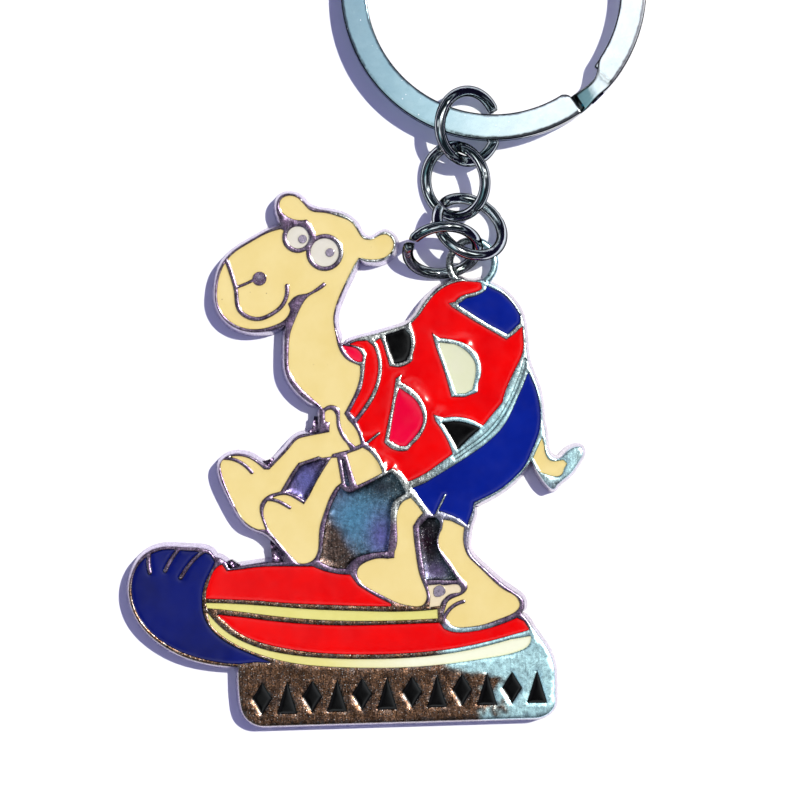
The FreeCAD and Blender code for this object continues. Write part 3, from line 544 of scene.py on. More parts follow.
# places, from the hanging loop's hole, where it was laid on thick: x, y, reach, strength
SWELLS = [(-5.4, -11.6, 1.3, 1.2), (-4.3, -13.4, 0.9, 1.0), (-8.3, -19.9, 1.0, 1.2), (-10.2, -17.6, 0.6, 0.8),
          (-0.6, -7.9, 0.8, 0.8), (-3.0, -14.5, 0.5, 0.8), (8.3, -20.7, 0.9, 0.9)]


def soft_spot(x, y, cx, cy, rx, ry):
    """One at a spot's middle, falling smoothly to nothing outside it."""
    d = ((x - cx) / rx) ** 2 + ((y - cy) / ry) ** 2
    return math.exp(-d)


def swell(x, y):
    """How thickly the enamel was laid on at a place, from 0 to 1."""
    total = 0.0
    for cx, cy, reach, strength in SWELLS:
        total += strength * soft_spot(x - SHIFT[0], y - SHIFT[1], cx, cy, reach, reach)
    return min(total, 1.0)


def enamel_cell(node_name, material, seed):
    """Replaces a flat CAD enamel cell with one that climbs its walls and has a slow ripple."""
    offsets = [0.06, 0.14, 0.25, 0.42]
    loops = [resample(loop, 0.16) for loop in face_loops(frame["nodes"][node_name], ENAMEL_TOP)]
    border = Border(loops)
    size = max(float(np.ptp(loop[:, 0])) for loop in loops)
    grid = 0.45 if size > 3 else 0.3
    extra = fill_points(loops, border, offsets, grid, lambda c: c % 2 == 1, seed)
    co, faces, middles = triangulate(loops, extra)
    faces = faces[inside_count(middles, loops) % 2 == 1]
    used = np.unique(faces)
    renumber = {int(v): i for i, v in enumerate(used)}
    top = []
    rim = []
    for v in used:
        x, y = co[v]
        d, _ = border.nearest(x, y)
        more = swell(x, y)
        bank = max(0.0, 1 - d / SWELL_REACH)
        climb = CLIMB * math.exp(-d / MENISCUS) * (1 - more) + SWELL_RISE * more * bank ** 1.3
        ripple = 0.006 * fractal(x, y, 2.2, seed)
        top.append((x, y, ENAMEL_MIDDLE + climb + ripple))
        rim.append(math.exp(-d / RIM_REACH))
    faces = [[renumber[int(i)] for i in f] for f in faces]
    count = len(top)
    bottom = [(x, y, POCKET_FLOOR + 0.001) for x, y, _ in top]
    tree = KDTree(count)
    for i, p in enumerate(top):
        tree.insert((p[0], p[1], 0), i)
    tree.balance()
    sides = []
    for loop in loops:
        ids = [tree.find((p[0], p[1], 0))[1] for p in loop]
        for a, b in zip(ids, ids[1:] + ids[:1]):
            sides.append([b, a, a + count, b + count])
    under = [[i + count for i in reversed(f)] for f in faces]
    piece = make_object(node_name + "_fill", top + bottom, faces + sides + under, material,
                        attributes={"rim": rim + rim})
    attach(piece, "pendant")
    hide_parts(node_name)
    return piece


for number, (cell_name, cell_material) in enumerate(ENAMELS.items()):
    enamel_cell(cell_name, cell_material, 10 + number)


# ---------------------------------------------------------------- casting

def row(x, y):
    """Row-frame position of a place given from the hanging loop's hole."""
    return (x + SHIFT[0], y + SHIFT[1])


def ramp(value, start, end):
    """Smooth share from 0 at start to 1 at end."""
    t = min(max((value - start) / (end - start), 0.0), 1.0)
    return t * t * (3 - 2 * t)


# painted reflections and painted shade of the casting, standing for the room that its metal mirrors: colour,
# and coarseness of the grain from 0 to 1
SILVER = (0.40, 0.43, 0.43, 0.9)
PLUM = (0.155, 0.105, 0.185, 0.55)
DISC = (0.36, 0.31, 0.42, 0.1)
GRAPHITE = (0.085, 0.125, 0.135, 0.9)
WALL = (0.66, 0.59, 0.76, 0.25)
PALE_CYAN = (0.52, 0.82, 0.90, 0.15)
UMBER = (0.130, 0.070, 0.042, 1.0)
BROWN = (0.085, 0.058, 0.050, 0.8)
STEEL_BLUE = (0.10, 0.27, 0.45, 0.08)
VIOLET = (0.145, 0.145, 0.43, 0.1)
DUSK = (0.15, 0.11, 0.25, 0.1)
# painted shade for the dark spots in the recesses
PAINTED_SHADE = (0.014, 0.006, 0.012, 0.4)
BACK = (0.42, 0.43, 0.45, 0.7)
NOSTRIL_REACH = 0.9
DISC_WIDEST = 1.35                # outlines narrower than this are small discs
RECESS_TOP = 2.3                  # a floor below this is bare metal
# places and reach of the pale discs, from the hanging loop's hole: pupils, a dot in the nostril, heel stud
DISCS = [(-16.66, 2.37, 0.75), (-13.94, 1.03, 0.75), (-20.88, -1.54, 0.22), (-3.15, -32.27, 0.75)]


def tone(x, y, z, outer_side):
    """Painted reflection and shade of the casting at a place: colour, and coarseness of the grain."""
    px, py = x - SHIFT[0], y - SHIFT[1]
    colour = np.array(SILVER)

    def over(other, share):
        return colour + (np.array(other) - colour) * share

    # painted reflection: plum over the head, neck and front legs, then over the hind legs
    colour = over(PLUM, 1 - ramp(px + 0.16 * (py + 20), -10.4, -8.6))
    colour = over(PLUM, (1 - ramp(py - 0.25 * (px + 5), -25.2, -24.0)) * ramp(px, -10.0, -8.5))
    # painted reflection: pale cyan over the saddle band, the right of the hanging loop and the tail's tip
    colour = over(PALE_CYAN, soft_spot(px, py, 1.8, -15.6, 5.2, 5.4) ** 0.5 * ramp(px, -5.2, -3.2))
    colour = over(PALE_CYAN, 0.8 * ramp(px, -0.6, 0.8) * ramp(py, -3.2, -2.4))
    colour = over(PALE_CYAN, soft_spot(px, py, 9.6, -19.8, 2.2, 2.5))
    # painted reflection: umber over the board's ridges and the plate, pale cyan again at their right end
    low = py - 0.05 * px
    board = 1 - ramp(low, -30.4, -28.6) if px < -14.8 else 1 - ramp(low, -34.2, -33.0)
    board = max(board, 1 - ramp(py, -33.6, -32.8)) if px < -3 else 1 - ramp(py - 0.244 * px, -37.0, -36.6)
    colour = over(UMBER, board)
    patch = fractal(x, y, 1.6, 21)
    right_end = ramp(px - 0.8 * (py + 40) + 2.5 * patch, 3.5, 5.5)
    right_end = max(right_end, ramp(px + 4 * (py + 40.25) + 2.0 * patch, -1.0, 1.5) * ramp(px, -4, -2))
    colour = over(PALE_CYAN, right_end * (1 - ramp(py, -36.4, -35.2)))
    # the outer sides get a painted lilac reflection
    if outer_side:
        colour = over(WALL, 0.9)
        # less violet on the right
        colour = colour * np.array([1, 1, 1 - 0.12 * ramp(px, -9, -6), 1])
    elif z < 0.2:
        colour = np.array(BACK)
    elif z < 2.4 and py < -5:
        # bare recesses, between the legs and the two narrow ones beside it: painted reflections and painted
        # shade
        colour = over(GRAPHITE, ramp(px, -13, -10.5))
        colour = over(STEEL_BLUE, soft_spot(px, py, -11.5, -25.0, 3.6, 3.3))
        colour = over(VIOLET, soft_spot(px, py, -8.9, -26.8, 1.4, 2.2))
        brown = ramp(-0.82 * px - 0.57 * py + 0.3 * patch, 25.0, 26.3)
        colour = over(BROWN, brown * ramp(-px, 8.6, 9.6) * ramp(px, -16, -15))
        colour = over(VIOLET, soft_spot(px, py, -16.4, -21.2, 1.6, 2.0))
        # painted shade in the recesses' dark spots
        colour = over(PAINTED_SHADE, soft_spot(px, py, -4.4, -27.3, 1.5, 2.6) ** 0.35)
        colour = over(DUSK, 0.8 * soft_spot(px, py, -3.4, -30.2, 1.1, 0.8))
        colour = over(PAINTED_SHADE, 0.8 * soft_spot(px, py, -9.0, -22.0, 1.6, 0.9))
    for cx, cy, reach in DISCS:
        if z > 2.6 and math.hypot(px - cx, py - cy) < reach:
            colour = over(DISC, 1.0)
    return tuple(colour)


def part_at_eye(loop):
    """The outer outline and the pocket that runs into it under the hanging loop's hole, apart."""
    from_hole = np.hypot(loop[:, 0] - SHIFT[0], loop[:, 1] - SHIFT[1])
    on_hole = np.abs(from_hole - EYE_HOLE) < 0.005
    leaves = np.where(on_hole & ~np.roll(on_hole, -1))[0]
    joins = np.where(on_hole & ~np.roll(on_hole, 1))[0]
    best = None
    for first in leaves:
        for last in joins:
            if last > first + 2 and (best is None or last - first < best[1] - best[0]):
                best = (first, last)
    if best is None:
        return [loop]
    first, last = best
    return [np.vstack([loop[:first + 1], loop[last:]]), loop[first + 1:last]]


def casting():
    node = frame["nodes"]["pendant_casting"]
    loops = [resample(loop, 0.15) for loop in face_loops(node, PLATE_THICK)]
    sizes = [np.ptp(loop[:, 0]) * np.ptp(loop[:, 1]) for loop in loops]
    outer = int(np.argmax(sizes))
    loops = part_at_eye(loops[outer]) + loops[:outer] + loops[outer + 1:]
    border = Border(loops)

    # the floor under each outline, read from the casting's own walls
    cad = {}
    for v in node.data.vertices:
        p = v.co / MM
        cad.setdefault((round(p.x, 2), round(p.y, 2)), []).append(p.z)
    floors = []
    for n, loop in enumerate(loops):
        found = []
        for x, y in loop:
            for z in cad.get((round(x, 2), round(y, 2)), ()):
                if 0.5 < z < PLATE_THICK - 0.05:
                    found.append(z)
        floors.append(float(np.median(found)) if found else POCKET_FLOOR)
    floors[0] = 0.0

    ridge_extra = fill_points(loops, border, [0.035, 0.08, 0.14], 0.42, lambda c: c % 2 == 1, 3)
    floor_extra = fill_points(loops, border, [0.1], 0.3, lambda c: c > 0 and c % 2 == 0, 4)
    floor_extra = [p for p in floor_extra if floors[border.nearest(*p)[1]] < RECESS_TOP]
    co, faces, middles = triangulate(loops, ridge_extra + floor_extra)
    counts = inside_count(middles, loops)
    ridge_faces = faces[counts % 2 == 1]
    floor_faces = faces[(counts > 0) & (counts % 2 == 0)]

    border_tree = KDTree(sum(len(loop) for loop in loops))
    ids = [(n, i) for n, loop in enumerate(loops) for i in range(len(loop))]
    for k, (n, i) in enumerate(ids):
        border_tree.insert((loops[n][i][0], loops[n][i][1], 0), k)
    border_tree.balance()

    # the pupils, nostril and heel stud are flat little discs with a sharper edge
    rounding = []
    for loop in loops:
        widest = max(np.ptp(loop[:, 0]), np.ptp(loop[:, 1]))
        rounding.append(EDGE_ROUND * (SMALL_ROUND if widest < DISC_WIDEST else 1.0))
    nostril = row(*DISCS[2][:2])

    verts = []
    top_of = {}
    floor_of = {}
    edge = []
    corner_top = {}
    corner_floor = {}
    for v in np.unique(ridge_faces):
        x, y = co[v]
        d, n = border.nearest(x, y)
        width = rounding[n]
        if math.hypot(x - nostril[0], y - nostril[1]) < NOSTRIL_REACH:
            width *= SMALL_ROUND
        share = min(d / width, 1.0)
        fall = EDGE_DROP * width / EDGE_ROUND * (1 - math.sqrt(max(0.0, 1 - (1 - share) ** 2)))
        ripple = 0.006 * fractal(x, y, 0.55, 1) * share
        sway = 0.03 * fractal(x, y, 5.0, 2)
        z = PLATE_THICK - fall + ripple + sway
        top_of[int(v)] = len(verts)
        _, k, near = border_tree.find((x, y, 0))
        if near < 1e-4:
            corner_top[ids[k]] = len(verts)
        verts.append((x, y, z))
        # edge is the share of pale wear and painted highlight across the rounding
        edge.append(1.0 - abs(share - WEAR_AND_SHEEN_MIDDLE) / (1 - WEAR_AND_SHEEN_MIDDLE) if share < 1 else 0.0)
    for v in np.unique(floor_faces):
        x, y = co[v]
        d, n = border.nearest(x, y)
        z = floors[n]
        if z < RECESS_TOP:
            # bare recesses have a fillet at the wall, a slow wave and level tool marks
            z += 0.10 * math.exp(-d / 0.12) + 0.010 * fractal(x, y, 1.4, 5) * min(1, d / 0.2)
            z += 0.004 * fractal(x, y * 0.2, 0.22, 6) * min(1, d / 0.2)
        floor_of[int(v)] = len(verts)
        _, k, near = border_tree.find((x, y, 0))
        if near < 1e-4:
            corner_floor[ids[k]] = len(verts)
        verts.append((x, y, z))
        edge.append(0.0)
    result = [[top_of[int(i)] for i in f] for f in ridge_faces]
    result += [[floor_of[int(i)] for i in f] for f in floor_faces]

    # walls of the pockets
    for n in range(1, len(loops)):
        count = len(loops[n])
        for i in range(count):
            j = (i + 1) % count
            quad = [corner_top.get((n, i)), corner_floor.get((n, i)),
                    corner_floor.get((n, j)), corner_top.get((n, j))]
            if None not in quad:
                result.append([quad[0], quad[1], quad[2], quad[3]])

    # leaning outer sides, down to a slightly rounded back edge
    outline = loops[0]
    normals = -inward_normals(outline)
    normals = (normals + np.roll(normals, 1, 0) + np.roll(normals, -1, 0)) / 3
    # height, and how far out
    rows = [(2.72, 0.07), (2.45, 0.12), (2.0, 0.17), (1.4, 0.24), (0.8, 0.31), (0.3, 0.37), (0.08, 0.37),
            (0.0, 0.31)]
    # less lean in notches, where a full one would run into the side across
    reach = []
    for p, m in zip(outline, normals):
        amount = SIDE_LEAN
        while amount > 0.02 and border.nearest(*(p + m * amount))[0] < amount * 0.85:
            amount *= 0.8
        reach.append(amount / SIDE_LEAN)
    reach = np.array(reach)
    for _ in range(4):
        reach = np.minimum(reach, (reach + np.roll(reach, 1) + np.roll(reach, -1)) / 3)
    ring = [corner_top[(0, i)] for i in range(len(outline))]
    first_side = len(verts)
    for z, out in rows:
        following = []
        for i, (p, m) in enumerate(zip(outline, normals)):
            wobble = 0.02 * fractal(p[0] * 1.5, p[1] * 1.5 + z * 2, 0.8, 7)
            q = p + m * (out * reach[i] + (wobble if 0.2 < z < 2.6 else 0))
            following.append(len(verts))
            verts.append((q[0], q[1], z))
            edge.append(0.0)
        for i in range(len(ring)):
            j = (i + 1) % len(ring)
            result.append([ring[i], following[i], following[j], ring[j]])
        ring = following

    last_side = len(verts)

    # back: the same triangles seen from below, with a collar out to the back edge
    under_of = {}
    inside = faces[counts > 0]
    for v in np.unique(inside):
        x, y = co[v]
        under_of[int(v)] = len(verts)
        verts.append((x, y, 0.0))
        edge.append(0.0)
    result += [[under_of[int(i)] for i in reversed(f)] for f in inside]
    under_tree = KDTree(len(under_of))
    for v, k in under_of.items():
        under_tree.insert((verts[k][0], verts[k][1], 0), k)
    under_tree.balance()
    inner = [under_tree.find((p[0], p[1], 0))[1] for p in outline]
    for i in range(len(ring)):
        j = (i + 1) % len(ring)
        result.append([ring[i], inner[i], inner[j], ring[j]])

    # hanging loop: a rounded eye that grows out of the top of the hump
    lathe_ring(verts, result, edge, row(0, 0), EYE_HOLE + EYE_HALF_WIDTH, EYE_HALF_WIDTH,
               EYE_HALF_HEIGHT, EYE_MIDDLE)
    # rough web between the near front hoof and the board, and flash left in the notches
    for corners, height in WEBS:
        rough_web(verts, result, edge, corners, height)

    tint = [tone(x, y, z, first_side <= i < last_side) for i, (x, y, z) in enumerate(verts)]
    piece = make_object("pendant_casting_detail", verts, result, CAST, 40.0, {"edge": edge}, tint)
    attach(piece, "pendant")
    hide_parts("pendant_casting")
    return piece


def lathe_ring(verts, faces, edge, centre, radius, half_width, half_height, middle):
    """A flat ring with rounded edges about an upright axis."""
    squareness = 0.7                  # 1 is a round section, 0 a rectangular one
    around = 72
    section = 20
    first = len(verts)
    for i in range(around):
        turn = 2 * math.pi * i / around
        for j in range(section):
            a = 2 * math.pi * j / section
            c, s = math.cos(a), math.sin(a)
            r = radius + half_width * math.copysign(abs(c) ** squareness, c)
            z = middle + half_height * math.copysign(abs(s) ** squareness, s)
            r += 0.02 * fractal(turn * 3, z, 1.0, 8)
            verts.append((centre[0] + r * math.cos(turn), centre[1] + r * math.sin(turn), z))
            edge.append(0.0)
    for i in range(around):
        for j in range(section):
            a = first + i * section + j
            b = first + ((i + 1) % around) * section + j
            faces.append([a, b, first + ((i + 1) % around) * section + (j + 1) % section,
                          first + i * section + (j + 1) % section])


# corners of each patch of flash, from the hanging loop's hole, and its height
WEBS = [
    (((-19.85, -27.3), (-19.6, -29.6), (-17.0, -29.6), (-18.6, -27.6)), 1.8),
    (((-20.75, -19.45), (-20.1, -20.5), (-19.2, -19.9), (-19.55, -19.1), (-20.1, -19.35)), 2.2),
    (((-24.2, -29.3), (-23.3, -30.0), (-22.2, -29.75), (-23.0, -29.5), (-23.6, -29.1)), 2.6),
    (((-16.5, -16.9), (-15.0, -16.9), (-14.9, -15.3), (-15.5, -15.0), (-15.7, -16.2)), 2.1),
]


def rough_web(verts, faces, edge, corners, height):
    """A low, lumpy patch of casting flash over some corners, down to the back."""
    spacing = 0.2
    roughness = 0.16
    loop = resample(np.array([row(*p) for p in corners]), spacing)
    border = Border([loop])
    extra = fill_points([loop], border, [], spacing, lambda c: c == 1, 9)
    co, tris, middles = triangulate([loop], extra)
    tris = tris[inside_count(middles, [loop]) == 1]
    first = len(verts)
    for x, y in co:
        verts.append((x, y, height + roughness * fractal(x, y, 0.4, 11)))
        edge.append(0.0)
    for x, y in co:
        verts.append((x, y, 0.01))
        edge.append(0.0)
    for t in tris:
        faces.append([first + int(i) for i in t])
        faces.append([first + len(co) + int(i) for i in reversed(t)])
    tree = KDTree(len(co))
    for i, p in enumerate(co):
        tree.insert((p[0], p[1], 0), i)
    tree.balance()
    ids = [tree.find((p[0], p[1], 0))[1] for p in loop]
    for a, b in zip(ids, ids[1:] + ids[:1]):
        faces.append([first + b, first + a, first + a + len(co), first + b + len(co)])


casting()


# ---------------------------------------------------------------- jump rings

WIRE_RADIUS = 0.55
RING_RADIUS = 3.45
RING_GAP = 9.0                    # degrees left open at the cut
RING_STATIONS = 168
WIRE_SIDES = 28
PINCH_REACH = 0.22                # how far from a cut end the wire is pinched flat
DENT_COUNT = 9
# centre from the hanging loop's hole, axis, and the direction in which the cut lies
JUMP_RINGS = {
    "jump_ring_1": ((-0.398, 13.395, 2.730), (0.585, -0.009, 0.811), (0.95, 0.30, 0.0)),
    "jump_ring_2": ((-1.656, 8.012, 2.531), (-0.550, -0.113, 0.827), (-0.30, 0.95, 0.0)),
    "jump_ring_3": ((-0.261, 3.538, 2.890), (0.373, 0.557, 0.742), (-0.75, 0.65, 0.0)),
    "jump_ring_4": ((-2.913, 1.242, 3.229), (0.101, -0.764, 0.637), (-0.80, 0.60, 0.0)),
}


def jump_ring(name, centre, normal, cut_towards, seed):
    """Round wire bent to a ring, with pinched, cut ends and a few dents from the pliers."""
    middle = Vector((centre[0] + SHIFT[0], centre[1] + SHIFT[1], centre[2]))
    axis = Vector(normal).normalized()
    out = Vector(cut_towards)
    out = (out - axis * out.dot(axis)).normalized()
    start = Matrix.Rotation(math.radians(RING_GAP / 2), 3, axis) @ out
    side = axis.cross(start)
    sweep = math.radians(360 - RING_GAP)
    random = seeded(seed)
    # place along the wire, direction round it, and depth
    dents = [(random.uniform(0.3, sweep - 0.3), random.uniform(0, 2 * math.pi), random.uniform(0.02, 0.05))
             for _ in range(DENT_COUNT)]
    verts = []
    faces = []
    shade = []
    for i in range(RING_STATIONS + 1):
        share = i / RING_STATIONS
        # rows crowd towards the ends, where the wire is pinched
        turn = sweep * (share - math.sin(2 * math.pi * share) / (2 * math.pi) * 0.55)
        arm = start * math.cos(turn) + side * math.sin(turn)
        to_end = min(turn, sweep - turn) * RING_RADIUS
        pinch = math.exp(-(to_end / PINCH_REACH) ** 2)
        for j in range(WIRE_SIDES):
            a = 2 * math.pi * j / WIRE_SIDES
            r = WIRE_RADIUS
            for at, towards, depth in dents:
                near = math.exp(-((turn - at) / 0.05) ** 2)
                facing = max(0.0, math.cos(a - towards)) ** 4
                r -= depth * near * facing
            r -= 0.004 * (1 + noise.noise(Vector((turn * 6, a, seed))))
            x = r * math.cos(a) * (1 - 0.12 * pinch)
            z = r * math.sin(a) * (1 - 0.72 * pinch)
            lean = 0.064 * pinch * math.cos(a)
            p = middle + arm * (RING_RADIUS + x) + axis * (z + lean)
            verts.append(tuple(p))
            # painted shade: dark below the wire's sides, fainter on its shoulders, bare on its crest, dark at
            # the pinched ends
            upward = arm.z * math.cos(a) + axis.z * math.sin(a)
            low_side = math.exp(-((upward - 0.33) / 0.24) ** 4)
            shoulder = 0.75 * math.exp(-((upward - 0.81) / 0.075) ** 4)
            shade.append(max(low_side, shoulder, 0.8 * pinch))
    for i in range(RING_STATIONS):
        for j in range(WIRE_SIDES):
            a = i * WIRE_SIDES + j
            b = i * WIRE_SIDES + (j + 1) % WIRE_SIDES
            faces.append([a, b, b + WIRE_SIDES, a + WIRE_SIDES])
    faces.append(list(reversed(range(WIRE_SIDES))))
    faces.append([RING_STATIONS * WIRE_SIDES + j for j in range(WIRE_SIDES)])
    piece = make_object(name + "_wire", verts, faces, WIRE, 55.0, {"shade": shade})
    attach(piece, name)
    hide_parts(name)
    return piece


for number, (ring_name, ring_values) in enumerate(JUMP_RINGS.items()):
    jump_ring(ring_name, *ring_values, 40 + number)


# ---------------------------------------------------------------- split ring

SPLIT_OUTER = 15.0
SPLIT_BAND = 2.5                  # width of the flat wire
SPLIT_LAYER = 1.1                 # thickness of each turn
SPLIT_SLIT = 0.06                 # gap between the turns
SPLIT_CORNER = 0.12               # rounding of the flat wire's corners
SPLIT_CENTRE = (2.08, 26.95)      # from the hanging loop's hole
SPLIT_TILT = 3.0                  # degrees
SPLIT_CLEAR = 0.02                # height of its lowest point over the floor
TIP_ANGLE = 305.0                 # bearing of the upper free end, in degrees
STEP_ANGLE = 17.0                 # how far round the step from turn to turn reaches, in degrees
END_EASE = 0.12                   # rounding of the cut ends


def band_section():
    """Rounded rectangle of the flat wire, as (across, up) in mm from its inner lower corner."""
    corner = SPLIT_CORNER
    points = []
    for cx, cy, first in ((SPLIT_BAND - corner, SPLIT_LAYER - corner, 0), (corner, SPLIT_LAYER - corner, 90),
                          (corner, corner, 180), (SPLIT_BAND - corner, corner, 270)):
        for k in range(6):
            a = math.radians(first + 18 * k)
            points.append((cx + corner * math.cos(a), cy + corner * math.sin(a)))
    full = []
    for i, p in enumerate(points):
        q = points[(i + 1) % len(points)]
        pieces = 1 if math.hypot(q[0] - p[0], q[1] - p[1]) < 0.3 else 6
        for k in range(pieces):
            full.append((p[0] + (q[0] - p[0]) * k / pieces, p[1] + (q[1] - p[1]) * k / pieces))
    return full


def split_ring():
    """One flat wire wound in two turns, which steps from the upper to the lower turn."""
    section = band_section()
    upper = SPLIT_SLIT / 2
    lower = -SPLIT_SLIT / 2 - SPLIT_LAYER
    total = 2 * (360 - STEP_ANGLE) + STEP_ANGLE - 0.5
    # degrees along the wire from the upper free end, closer at the ends and over the step
    stations = [0.0, 0.15, 0.35, 0.6]
    stations += list(np.arange(1.2, 325, 1.5))
    stations += list(np.arange(325.5, 372, 0.6))
    stations += list(np.arange(373.0, total - 1, 1.5)) + [total - 0.6, total - 0.35, total - 0.15, total]
    lowest = SPLIT_OUTER * math.sin(math.radians(SPLIT_TILT)) + SPLIT_LAYER + SPLIT_SLIT / 2
    tilt = Matrix.Rotation(math.radians(-SPLIT_TILT), 3, "X")
    centre = Vector((SPLIT_CENTRE[0] + SHIFT[0], SPLIT_CENTRE[1] + SHIFT[1], lowest + SPLIT_CLEAR))
    verts = []
    faces = []
    shade = []
    for s in stations:
        share = min(max((s - (360 - STEP_ANGLE)) / STEP_ANGLE, 0.0), 1.0)
        z0 = upper + (lower - upper) * share ** 1.6
        bend = math.sin(math.pi * share) ** 2
        bearing = (TIP_ANGLE - s + 540) % 360 - 180
        # the inner edge's outward swing, which rises, eases and dies away over these bearings
        swing = ramp(bearing, -33.0, -43.0)
        swing *= 1 - 0.3 * ramp(bearing, -43.0, -55.0)
        swing *= 1 - ramp(bearing, -56.0, -64.0)
        swing *= 1.0 if 320 < s < 372 else 0.0
        angle = math.radians(TIP_ANGLE - s)
        to_end = min(s, total - s) * math.radians(1) * (SPLIT_OUTER - SPLIT_BAND / 2)
        for across, up in section:
            v = across / SPLIT_BAND
            r = SPLIT_OUTER - SPLIT_BAND + across
            # the inner edge swings out and the band leans where it steps down
            r += 0.85 * swing * (1 - v) - 0.22 * bend * v * (up > SPLIT_LAYER / 2)
            z = z0 + up
            crown = 0.006 * (1 - (2 * v - 1) ** 2)
            z += crown if up > SPLIT_LAYER / 2 else -crown
            # the cut ends are eased
            if to_end < END_EASE:
                pull = 1 - math.sqrt(max(0.0, 1 - (1 - to_end / END_EASE) ** 2))
                r += (SPLIT_OUTER - SPLIT_BAND / 2 - r) * 0.06 * pull
                z += (z0 + SPLIT_LAYER / 2 - z) * 0.16 * pull
            # rounded inner corner of the upper free end
            if s < 3.0 and v < 0.35:
                r += 0.55 * (1 - s / 3.0) ** 2 * (0.35 - v) / 0.35
            p = Vector((r * math.cos(angle), r * math.sin(angle), z))
            verts.append(tuple(centre + tilt @ p))
            # painted shade along the upper corners and at the cut ends
            on_corner = min(across, SPLIT_BAND - across) < 0.1 and up > SPLIT_LAYER / 2
            shade.append(max(1.0 if on_corner else 0.0, 1 - to_end / 0.1))
    count = len(section)
    for i in range(len(stations) - 1):
        for j in range(count):
            a = i * count + j
            b = i * count + (j + 1) % count
            faces.append([b, a, a + count, b + count])
    faces.append(list(range(count)))
    faces.append([(len(stations) - 1) * count + j for j in reversed(range(count))])
    piece = make_object("split_ring_band", verts, faces, BAND, 45.0, {"shade": shade})
    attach(piece, "split_ring")
    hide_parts("split_ring")
    return piece


split_ring()


# ---------------------------------------------------------------- floor, light and camera

def floor():
    n = Nodes("floor paper")
    grain = n.noise(6.0, 3.0)
    base = n.blend(grain, (0.90, 0.905, 0.915), (0.93, 0.935, 0.94))
    normal = n.bump(n.noise(0.8, 3.0), 0.01)
    material = n.finish(base, 0.9, normal)
    size = 600                    # half of the floor's width
    below = -0.01                 # just under the object
    steps = 12
    verts = []
    faces = []
    for j in range(steps + 1):
        for i in range(steps + 1):
            verts.append((-size + 2 * size * i / steps, -size + 2 * size * j / steps, below))
    for j in range(steps):
        for i in range(steps):
            a = j * (steps + 1) + i
            faces.append([a, a + 1, a + steps + 2, a + steps + 1])
    make_object("floor", verts, faces, material)


floor()


SUN_TOWARDS = (0.40, 0.25, 1.0)
PANEL_REACH = 20                  # degrees over which each panel's brightness is given


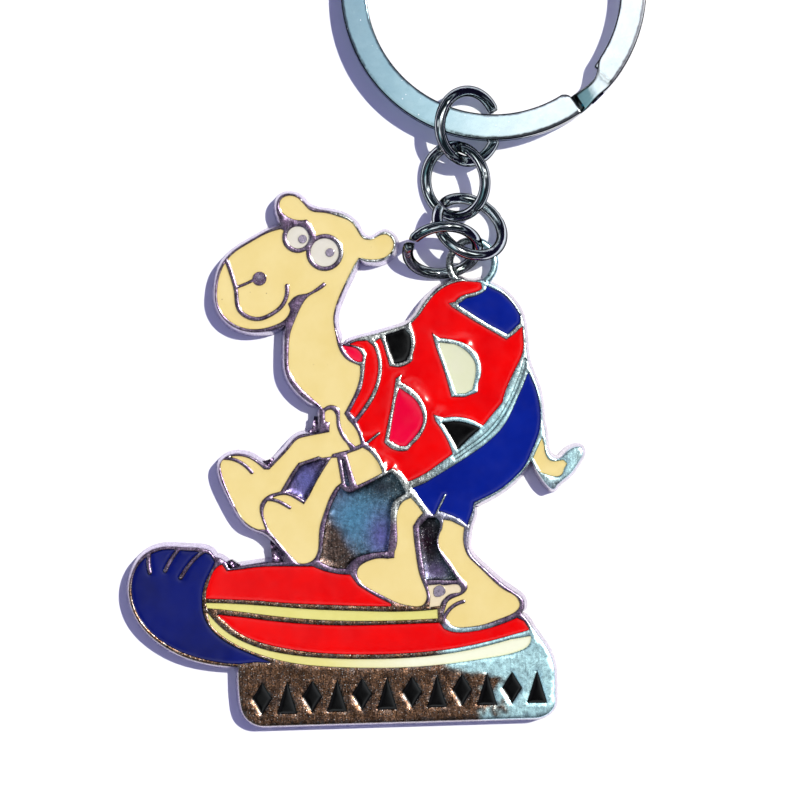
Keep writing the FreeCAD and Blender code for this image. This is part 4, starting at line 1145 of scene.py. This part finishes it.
def world():
    """A dark room whose pale panels overhead and along the walls the metal mirrors."""
    setting = bpy.data.worlds.new("studio")
    bpy.context.scene.world = setting
    setting.use_nodes = True
    tree = setting.node_tree

    def add(kind, **settings):
        node = tree.nodes.new(kind)
        for key, value in settings.items():
            setattr(node, key, value)
        return node

    def angle_to(direction):
        """Angle from a direction, in degrees."""
        dot = add("ShaderNodeVectorMath", operation="DOT_PRODUCT")
        tree.links.new(coords.outputs["Generated"], dot.inputs[0])
        dot.inputs[1].default_value = Vector(direction).normalized()
        arc = add("ShaderNodeMath", operation="ARCCOSINE")
        tree.links.new(dot.outputs["Value"], arc.inputs[0])
        degrees = add("ShaderNodeMath", operation="MULTIPLY")
        degrees.inputs[1].default_value = 180 / math.pi
        tree.links.new(arc.outputs[0], degrees.inputs[0])
        return degrees.outputs[0]

    def by_angle(angle, reach, stops, strength=1.0):
        """Light that changes with an angle. Each stop is (degrees, colour)."""
        share = add("ShaderNodeMath", operation="DIVIDE")
        tree.links.new(angle, share.inputs[0])
        share.inputs[1].default_value = reach
        node = add("ShaderNodeValToRGB")
        tree.links.new(share.outputs[0], node.inputs["Fac"])
        while len(node.color_ramp.elements) < len(stops):
            node.color_ramp.elements.new(0.5)
        for element, (degrees, colour) in zip(node.color_ramp.elements, stops):
            element.position = degrees / reach
            element.color = (*colour, 1)
        scaled = add("ShaderNodeVectorMath", operation="SCALE")
        tree.links.new(node.outputs["Color"], scaled.inputs[0])
        scaled.inputs["Scale"].default_value = strength
        return scaled.outputs[0]

    def plus(a, b):
        """The sum of two colours."""
        node = add("ShaderNodeMix", data_type="RGBA", blend_type="ADD")
        node.inputs[0].default_value = 1.0
        tree.links.new(a, node.inputs[6])
        tree.links.new(b, node.inputs[7])
        return node.outputs[2]

    def leaning(degrees, x, y):
        """Direction at an angle from straight up, towards a bearing."""
        size = math.sin(math.radians(degrees)) / math.hypot(x, y)
        return (x * size, y * size, math.cos(math.radians(degrees)))

    coords = add("ShaderNodeTexCoord")
    black = (0.0, 0.0, 0.0)
    # the room by the angle from straight up, with a pale ring on the ceiling and a band along the walls
    room = by_angle(angle_to((0, 0, 1)), 90, [
        (0, (0.030, 0.026, 0.032)), (6, (0.05, 0.05, 0.06)), (13, (0.22, 0.21, 0.26)),
        (21, (0.19, 0.185, 0.23)), (27, (0.010, 0.014, 0.020)), (53, (0.008, 0.014, 0.018)),
        (57, (0.05, 0.07, 0.10)), (59, (0.50, 0.55, 0.62)), (61, (0.42, 0.47, 0.56)),
        (64, (0.02, 0.02, 0.05)), (90, (0.02, 0.015, 0.06))])
    # direction, strength, and colours by the angle from it: panels overhead, to the right and to the left,
    # three over the lower left that the split ring's step mirrors, and the glare about the sun
    lights = [
        (leaning(10.5, 0, 1), 1.08, [
            (0, (0.93, 0.98, 1.0)), (5, (0.84, 0.90, 0.93)), (8, black), (20, black)]),
        (leaning(45, 0.94, 0.34), 2.2, [
            (0, (1, 1, 1)), (6, (0.85, 0.85, 0.85)), (10, black), (20, black)]),
        (leaning(40, -1, 0.16), 2.0, [
            (0, (1, 1, 1)), (6, (0.8, 0.85, 0.86)), (10, black), (20, black)]),
        (leaning(5.8, -0.894, 0.447), 0.85, [
            (0, (1, 1, 1)), (3, (0.85, 0.9, 0.92)), (5, black), (20, black)]),
        (leaning(15, -0.73, -0.68), 0.95, [
            (0, (1, 1, 1)), (6, (0.86, 0.93, 0.95)), (14, black), (20, black)]),
        (leaning(34, -0.73, -0.68), 0.40, [
            (0, (0.5, 0.9, 1)), (8, (0.42, 0.75, 0.85)), (17, black), (20, black)]),
        (SUN_TOWARDS, 9.0, [
            (0, (1, 1, 1)), (2, (0.8, 0.8, 0.8)), (4, (0.32, 0.32, 0.32)), (7, (0.10, 0.10, 0.10)),
            (12, (0.015, 0.015, 0.015)), (16, black)]),
    ]
    total = room
    for direction, strength, stops in lights:
        total = plus(total, by_angle(angle_to(direction), PANEL_REACH, stops, strength))
    tree.links.new(total, tree.nodes["Background"].inputs["Color"])
    tree.nodes["Background"].inputs["Strength"].default_value = 1.0


world()


def sun(name, towards, energy, angle_deg, colour, mirrored):
    """A sun lamp. angle_deg is how wide it is, and mirrored is whether polished things reflect it."""
    data = bpy.data.lights.new(name, "SUN")
    data.energy = energy
    data.angle = math.radians(angle_deg)
    data.color = colour
    lamp = bpy.data.objects.new(name, data)
    bpy.context.scene.collection.objects.link(lamp)
    lamp.rotation_euler = Vector(towards).to_track_quat("Z", "Y").to_euler()
    lamp.visible_glossy = mirrored


sun("key", SUN_TOWARDS, 3.3, 0.7, (1.0, 0.975, 0.90), True)
sun("sky fill", (0, 0, 1), 0.60, 120, (0.14, 0.03, 1.0), False)

CAMERA_PLACE = (1.416, -11.535, 453.0)
FOCAL_LENGTH = 206.6
camera_data = bpy.data.cameras.new("camera")
camera_data.sensor_width = 36.0
camera_data.lens = FOCAL_LENGTH
camera_data.clip_end = 10
camera = bpy.data.objects.new("camera", camera_data)
bpy.context.scene.collection.objects.link(camera)
camera.location = Vector(CAMERA_PLACE) * MM
camera.rotation_euler = (0, 0, 0)
bpy.context.scene.camera = camera
bpy.context.scene.view_settings.view_transform = "Standard"
